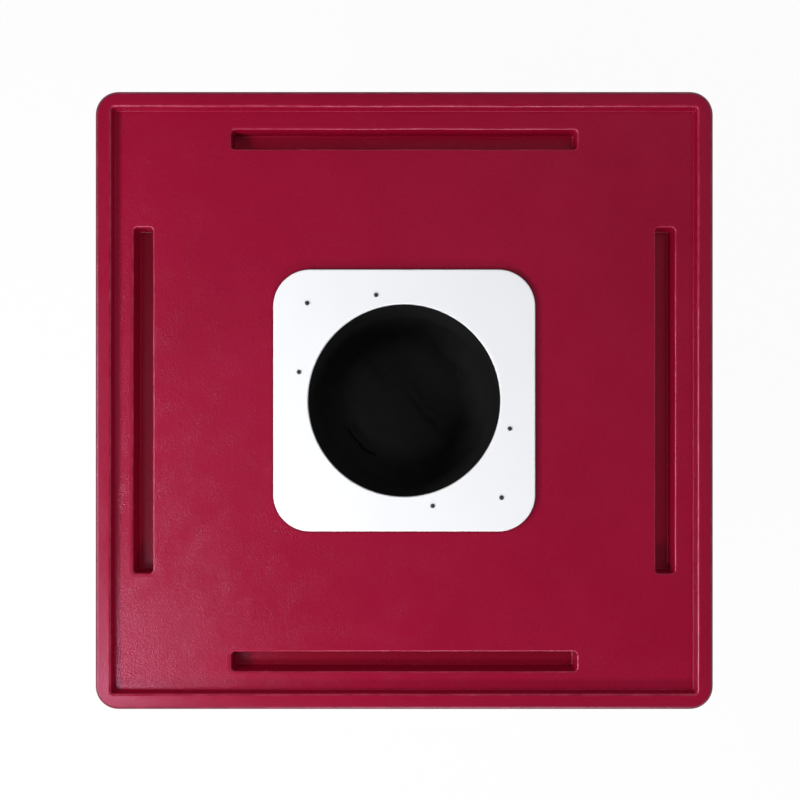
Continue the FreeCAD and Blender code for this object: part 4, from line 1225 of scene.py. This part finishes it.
def bagGrid():
    # wall rows from the hem down, then base rows in to the middle; each row a closed ring
    bag = bagCloth
    rows = []
    for row in range(bag["wallRows"] + 1):
        share = row / bag["wallRows"]
        reach, height = wallPoint(share)
        swell = max(share - bag["pleatsFrom"], 0.0) ** 1.3 * bag["pleatDepth"]
        ring = []
        for column in range(bag["columns"]):
            angle = 2 * math.pi * column / bag["columns"]
            drift = noise.noise(Vector((1.4 * math.cos(angle), 1.4 * math.sin(angle), 1.7 * share)))
            fold = math.cos(bag["pleats"] * angle + 3.0 * drift) * (0.6 + 0.7 * drift)
            radius = reach + swell * fold - 0.6 * swell
            ring.append(Vector((radius * math.cos(angle), radius * math.sin(angle), height)))
        rows.append(ring)
    seam = rows[-1]
    alongScale, acrossScale = bag["creaseScale"]
    for row in range(1, bag["baseRows"]):
        share = 1 - row / bag["baseRows"]
        ring = []
        for point in seam:
            flat = Vector((point.x * share, point.y * share, 0.0))
            crease = noise.noise(Vector((0.5 * (flat.x + flat.y) * alongScale,
                                         (flat.x - 1.3 * flat.y) * acrossScale, 4.0)))
            lift = bag["creaseDepth"] * crease * min(4 * (1 - share), 1.0)
            ring.append(Vector((flat.x, flat.y, point.z + lift)))
        rows.append(ring)
    return rows


def buildBag():
    # the cut: the wall's UVs unroll it, the base's lie flat
    bag = bagCloth
    rows = bagGrid()
    bm = bmesh.new()
    cut = bm.loops.layers.uv.new("cut")
    made = loft(bm, rows)
    last = made[-1]
    middle = bm.verts.new((0.0, 0.0, rows[-1][0].z))
    for step, vert in enumerate(last):
        bm.faces.new((vert, last[(step + 1) % len(last)], middle))
    placeOf = {vert: (row, column) for row, ring in enumerate(made) for column, vert in enumerate(ring)}
    placeOf[middle] = (len(made), None)
    wallLength = sum((Vector(a) - Vector(b)).length for a, b in zip(bag["outline"], bag["outline"][1:]))
    girth = 2 * math.pi * bag["outline"][0][0]
    for face in bm.faces:
        facePlaces = [placeOf[vert] for vert in face.verts]
        onWall = all(row <= bag["wallRows"] for row, _ in facePlaces)
        wraps = {0, bag["columns"] - 1} <= {column for _, column in facePlaces}
        for loop, (row, column) in zip(face.loops, facePlaces):
            if onWall:
                column = bag["columns"] if wraps and column == 0 else column
                loop[cut].uv = (girth * column / bag["columns"], wallLength * row / bag["wallRows"])
            else:
                loop[cut].uv = loop.vert.co.xy
    bm.verts.index_update()
    rings = [[vert.index for vert in ring] for ring in made]
    bmesh.ops.recalc_face_normals(bm, faces=bm.faces)
    mesh = meshFrom(bm, "bagCut")
    mesh = sagged(mesh, rings)
    return mesh, rings


def sagged(mesh, rings):
    # hang the bag by its top rows and let it settle, then keep it within reach of where the frame has it
    bag = bagCloth
    holder = makerObject("bag", mesh)
    pins = holder.vertex_groups.new(name="hem")
    pins.add(rings[0] + rings[1], 1.0, "REPLACE")
    pins.add(rings[2], 0.6, "REPLACE")
    cloth = holder.modifiers.new("cloth", "CLOTH")
    for label, value in bag["settings"].items():
        setattr(cloth.settings, label, value)
    cloth.settings.vertex_group_mass = "hem"
    cloth.collision_settings.use_collision = False
    cloth.point_cache.frame_start = 1
    cloth.point_cache.frame_end = bag["frames"]
    for step in range(1, bag["frames"] + 1):
        scene.frame_set(step)
    made = plainMesh("bagSagged", holder)
    scene.frame_set(1)
    floor = bag["outline"][-1][1] - bag["mostSag"]
    for vert in made.vertices:
        reach = vert.co.xy.length
        if reach > 1e-6:
            vert.co.xy *= min(1.0, (bag["outline"][0][0] + bag["mostSwell"]) / reach)
        vert.co.z = max(vert.co.z, floor)
    return made


def foldDepth(x, y):
    # how far the folds push the cloth in at a place seen from above
    wayX, wayY = bagCloth["foldWay"]
    alongScale, acrossScale = bagCloth["rippleScale"]
    total = 0.0
    for middleX, middleY, halfLength, width, depth in bagCloth["folds"]:
        along = (x - middleX) * wayX + (y - middleY) * wayY
        bend = bagCloth["foldBend"] * noise.noise(Vector((along * 30, middleX * 40, middleY * 40)))
        across = (y - middleY) * wayX - (x - middleX) * wayY + bend
        fade = max(1 - (along / halfLength) ** 2, 0.0)
        total += depth * fade * math.exp(-((across / width) ** 2))
    along, across = x * wayX + y * wayY, y * wayX - x * wayY
    ripple = noise.noise(Vector((along * alongScale, across * acrossScale, 7.0)))
    return total + bagCloth["rippleDepth"] * ripple


def basePanel(reach):
    # 0 on the wall, 1 on the base, with a soft change between
    outer = bagCloth["outline"][-1][0]
    return clamped((outer + bagCloth["panelStart"] - reach) / bagCloth["panelRun"])


def folded(mesh):
    # press the slack folds into the settled cloth, fading out towards the hem: in on the wall, up on the base
    top, bottom = bagCloth["outline"][0][1], bagCloth["outline"][-1][1]
    held = bagCloth["foldsFrom"]
    for vert in mesh.vertices:
        share = clamped((top - held - vert.co.z) / (top - bottom - 2 * held))
        reach = max(vert.co.xy.length, 1e-6)
        lying = basePanel(reach)
        inward = Vector((-vert.co.x / reach * (1 - lying), -vert.co.y / reach * (1 - lying), lying))
        vert.co += inward.normalized() * foldDepth(vert.co.x, vert.co.y) * share * share


def addCloth(sheet):
    # finer, folded and thick, with masks for the painted shade and painted light on its lower part and its
    # base
    top, bottom = bagCloth["outline"][0][1], bagCloth["outline"][-1][1]
    sheet = evaluatedMesh("bagCloth", sheet, ("SUBSURF", {"levels": 1, "render_levels": 1}))
    folded(sheet)
    places = [vert.co for vert in sheet.vertices]
    # low and panel steer the painted shade and painted light in the cloth's finish
    masks = {
        "panel": [basePanel(place.xy.length) for place in places],
        "low": [clamped((top - place.z) / (top - bottom)) ** 2 for place in places],
    }
    for name, values in masks.items():
        sheet.attributes.new(name, "FLOAT", "POINT").data.foreach_set("value", values)
    mesh = evaluatedMesh("tileBag", sheet, ("SOLIDIFY", {"thickness": bagCloth["thickness"], "offset": 0.0}))
    return addPiece("tileBag", mesh, materials["black_nylon"], ["tile_bag"])


def addTrim(name, mesh, finish):
    # hem, piping and stitches go with the cloth and replace no node
    return addPiece(name, mesh, materials[finish], [], "table")


def tubeRound(name, points, tube):
    # closed tube that follows a ring of points
    radius, tubeSides, pucker = tube
    count = len(points)
    rings = []
    for step, point in enumerate(points):
        ahead = (points[(step + 1) % count] - points[step - 1]).normalized()
        out = Vector((point.x, point.y, 0.0)).normalized()
        out = (out - ahead * out.dot(ahead)).normalized()
        up = ahead.cross(out)
        ring = []
        for turn in range(tubeSides):
            angle = 2 * math.pi * turn / tubeSides
            bulge = radius * (1 + pucker * noise.noise(Vector((step * 0.37, turn * 0.8, 2.0))))
            ring.append(point + bulge * (math.cos(angle) * out + math.sin(angle) * up))
        rings.append(ring)
    bm = bmesh.new()
    rows = loft(bm, rings + [rings[0]])
    bmesh.ops.remove_doubles(bm, verts=rows[0] + rows[-1], dist=1e-7)
    return finishedMesh(name, bm)


def hemPath():
    # round the middle of the hoop's wire
    low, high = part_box("bag_hoop")
    hoop = (high.x - low.x) / 2 - (high.z - low.z) / 2
    return [Vector(point) for point in raised(circleRing(hoop, bagCloth["hemSteps"]), (low.z + high.z) / 2)]


def pipingPath(seam):
    path = []
    for point in seam:
        way = Vector((point.x, point.y, -bagCloth["pipingSlope"] * point.xy.length))
        path.append(point + bagCloth["pipingShift"] * way.normalized())
    return path


def makeStitchTree():
    tree, given, out = newTree("stitches", {"Pitch": "Float", "Length": "Float", "Thread": "Float",
                                            "Material": "Material"})
    path = addNode(tree, "GeometryNodeMeshToCurve", {"Mesh": given["Geometry"]}).outputs[0]
    points = addNode(tree, "GeometryNodeCurveToPoints", {"Curve": path, "Length": given["Pitch"]},
                     mode="LENGTH").outputs
    bead = addNode(tree, "GeometryNodeMeshUVSphere", {"Segments": 6, "Rings": 5, "Radius": 0.5})
    along = addNode(tree, "FunctionNodeAlignRotationToVector", {"Vector": points["Tangent"]}, axis="Z")
    placed = addNode(tree, "GeometryNodeInstanceOnPoints", {
        "Points": points["Points"], "Instance": bead.outputs["Mesh"], "Rotation": along.outputs[0],
        "Scale": vectorOf(tree, {0: given["Thread"], 1: given["Thread"], 2: given["Length"]})}).outputs[0]
    return closeTree(tree, placed, given["Material"], out)


def buildStitches(paths):
    bag = bagCloth
    tree = makeStitchTree()
    values = {"Pitch": bag["stitchPitch"], "Length": bag["stitchShare"] * bag["stitchPitch"],
              "Thread": bag["threadWidth"], "Material": materials["black_thread"]}
    bm = bmesh.new()
    for path in paths:
        bm.from_mesh(growMesh("bagStitches", pointMesh("stitchPath", path, closed=True), tree, values))
    return meshFrom(bm, "bagStitches")


def addBag():
    bag = bagCloth
    sheet, rings = buildBag()
    places = [[sheet.vertices[index].co.copy() for index in ring] for ring in rings]
    cloth = addCloth(sheet)
    hem = addTrim("bagHem", tubeRound("bagHem", hemPath(), bag["hemTube"]), "black_nylon")
    seam = pipingPath(places[bag["wallRows"]])
    piping = addTrim("bagPiping", tubeRound("bagPiping", seam, bag["pipingTube"]), "black_nylon")
    stitches = addTrim("bagStitches", buildStitches([places[1], places[bag["wallRows"] - 1]]), "black_thread")
    nodes["bag_hoop"].data.materials.clear()
    nodes["bag_hoop"].data.materials.append(materials["zinc_steel"])


addBag()
print("bag hung and sewn")


# camera straight above, as the photo was taken
view = {
    "place": (-0.0055, 0.0006, 1.695),
    "level": 0.745,        # where the photo's scale was read
    "span": 1.038,         # what the frame's width covers at that level
    "sensor": 36.0,
}
cameraData = bpy.data.cameras.new("camera")
cameraData.sensor_width = view["sensor"]
cameraData.lens = view["sensor"] * (view["place"][2] - view["level"]) / view["span"]
camera = bpy.data.objects.new("camera", cameraData)
camera.location = view["place"]
scene.collection.objects.link(camera)
scene.camera = camera


# light: soft windows at the left, over the left front corner and in front, a card that only shows in gloss,
# a high fill that doesn't, and a pale floor that runs up into a wall
tableMiddle = (0.0, 0.0, 0.72)
lamps = {
    "window": {"place": (-1.53, -0.36, 1.80), "target": tableMiddle, "size": (1.6, 0.36), "power": 30.0},
    "cornerWindow": {"place": (-1.04, -0.97, 2.0), "target": tableMiddle, "size": (0.5, 0.4), "power": 6.5},
    "frontWindow": {"place": (0.25, -2.2, 1.80), "target": tableMiddle, "size": (1.5, 0.3), "power": 24.0},
    "leftCard": {"place": (-1.55, -0.35, 3.2), "target": (-1.3, -0.3, 0.7), "size": (1.5, 2.6), "power": 5.5,
                 "lightsMatt": False},
    "highFill": {"place": (1.2, 0.8, 3.4), "target": (0.0, 0.0, 0.7), "size": (3.0, 3.0), "power": 28.0,
                 "seenInGloss": False},
}
worldStrength = 0.15
floorStage = {
    "paint": (0.92, 0.92, 0.92, 1.0),
    "seenShare": 0.95,      # how much of what is seen is plain white, the rest takes the shadows
    "level": -0.0002,
    "flat": 3.0,
    "reach": 9.0,
    "bend": 3.0,
    "height": 6.5,
    "bendSteps": 12,
    "steps": 96,
}


def addLamp(name, place, target, size, power, seenInGloss=True, lightsMatt=True):
    data = bpy.data.lights.new(name, "AREA")
    data.shape = "RECTANGLE"
    data.size, data.size_y = size
    data.energy = power
    lamp = bpy.data.objects.new(name, data)
    lamp.location = place
    lamp.rotation_euler = (Vector(target) - Vector(place)).to_track_quat("-Z", "Y").to_euler()
    lamp.visible_glossy = seenInGloss
    lamp.visible_diffuse = lightsMatt
    lamp.visible_camera = False
    scene.collection.objects.link(lamp)


def lightWorld():
    world = bpy.data.worlds.new("studio")
    scene.world = world
    world.use_nodes = True
    background = world.node_tree.nodes["Background"]
    fillInputs(world.node_tree, background, {"Color": (1.0, 1.0, 1.0, 1.0), "Strength": worldStrength})


def makeFloorWhite():
    material = bpy.data.materials.new("floorWhite")
    material.use_nodes = True
    tree = material.node_tree
    tree.nodes.clear()
    rays = addNode(tree, "ShaderNodeLightPath").outputs
    seen = mathNode(tree, "MAXIMUM", rays["Is Camera Ray"], rays["Is Glossy Ray"])
    seen = mathNode(tree, "MAXIMUM", seen, rays["Is Transmission Ray"])
    paint = addNode(tree, "ShaderNodeBsdfDiffuse", {"Color": floorStage["paint"]})
    glow = addNode(tree, "ShaderNodeEmission", {"Color": (1.0, 1.0, 1.0, 1.0), "Strength": 1.0})
    share = times(tree, seen, floorStage["seenShare"])
    mixed = addNode(tree, "ShaderNodeMixShader", {0: share, 1: paint.outputs[0], 2: glow.outputs[0]})
    # seen from below the floor is clear, so that the underside can be looked at
    below = addNode(tree, "ShaderNodeNewGeometry").outputs["Backfacing"]
    clear = addNode(tree, "ShaderNodeBsdfTransparent")
    mixed = addNode(tree, "ShaderNodeMixShader", {0: below, 1: mixed.outputs[0], 2: clear.outputs[0]})
    output = addNode(tree, "ShaderNodeOutputMaterial", {"Surface": mixed.outputs[0]})
    output.is_active_output = True
    return material


def buildFloor():
    stage = floorStage
    bm = bmesh.new()
    section = easedOutline([
        (stage["flat"], stage["level"], 0),
        (stage["reach"], stage["level"], stage["bend"]),
        (stage["reach"], stage["height"], 0)], stage["bendSteps"])
    rows = loft(bm, [raised(circleRing(radius, stage["steps"]), level) for radius, level, _ in section])
    bm.faces.new(reversed(rows[0]))
    bmesh.ops.recalc_face_normals(bm, faces=bm.faces)
    bm.faces.ensure_lookup_table()
    if bm.faces[0].normal.z < 0:
        bmesh.ops.reverse_faces(bm, faces=bm.faces)
    mesh = meshFrom(bm, "floor")
    mesh.materials.append(makeFloorWhite())
    floor = bpy.data.objects.new("floor", mesh)
    scene.collection.objects.link(floor)


for name, lamp in lamps.items():
    addLamp(name, **lamp)
lightWorld()
buildFloor()
scene.view_settings.view_transform = "Standard"
print("stage set")
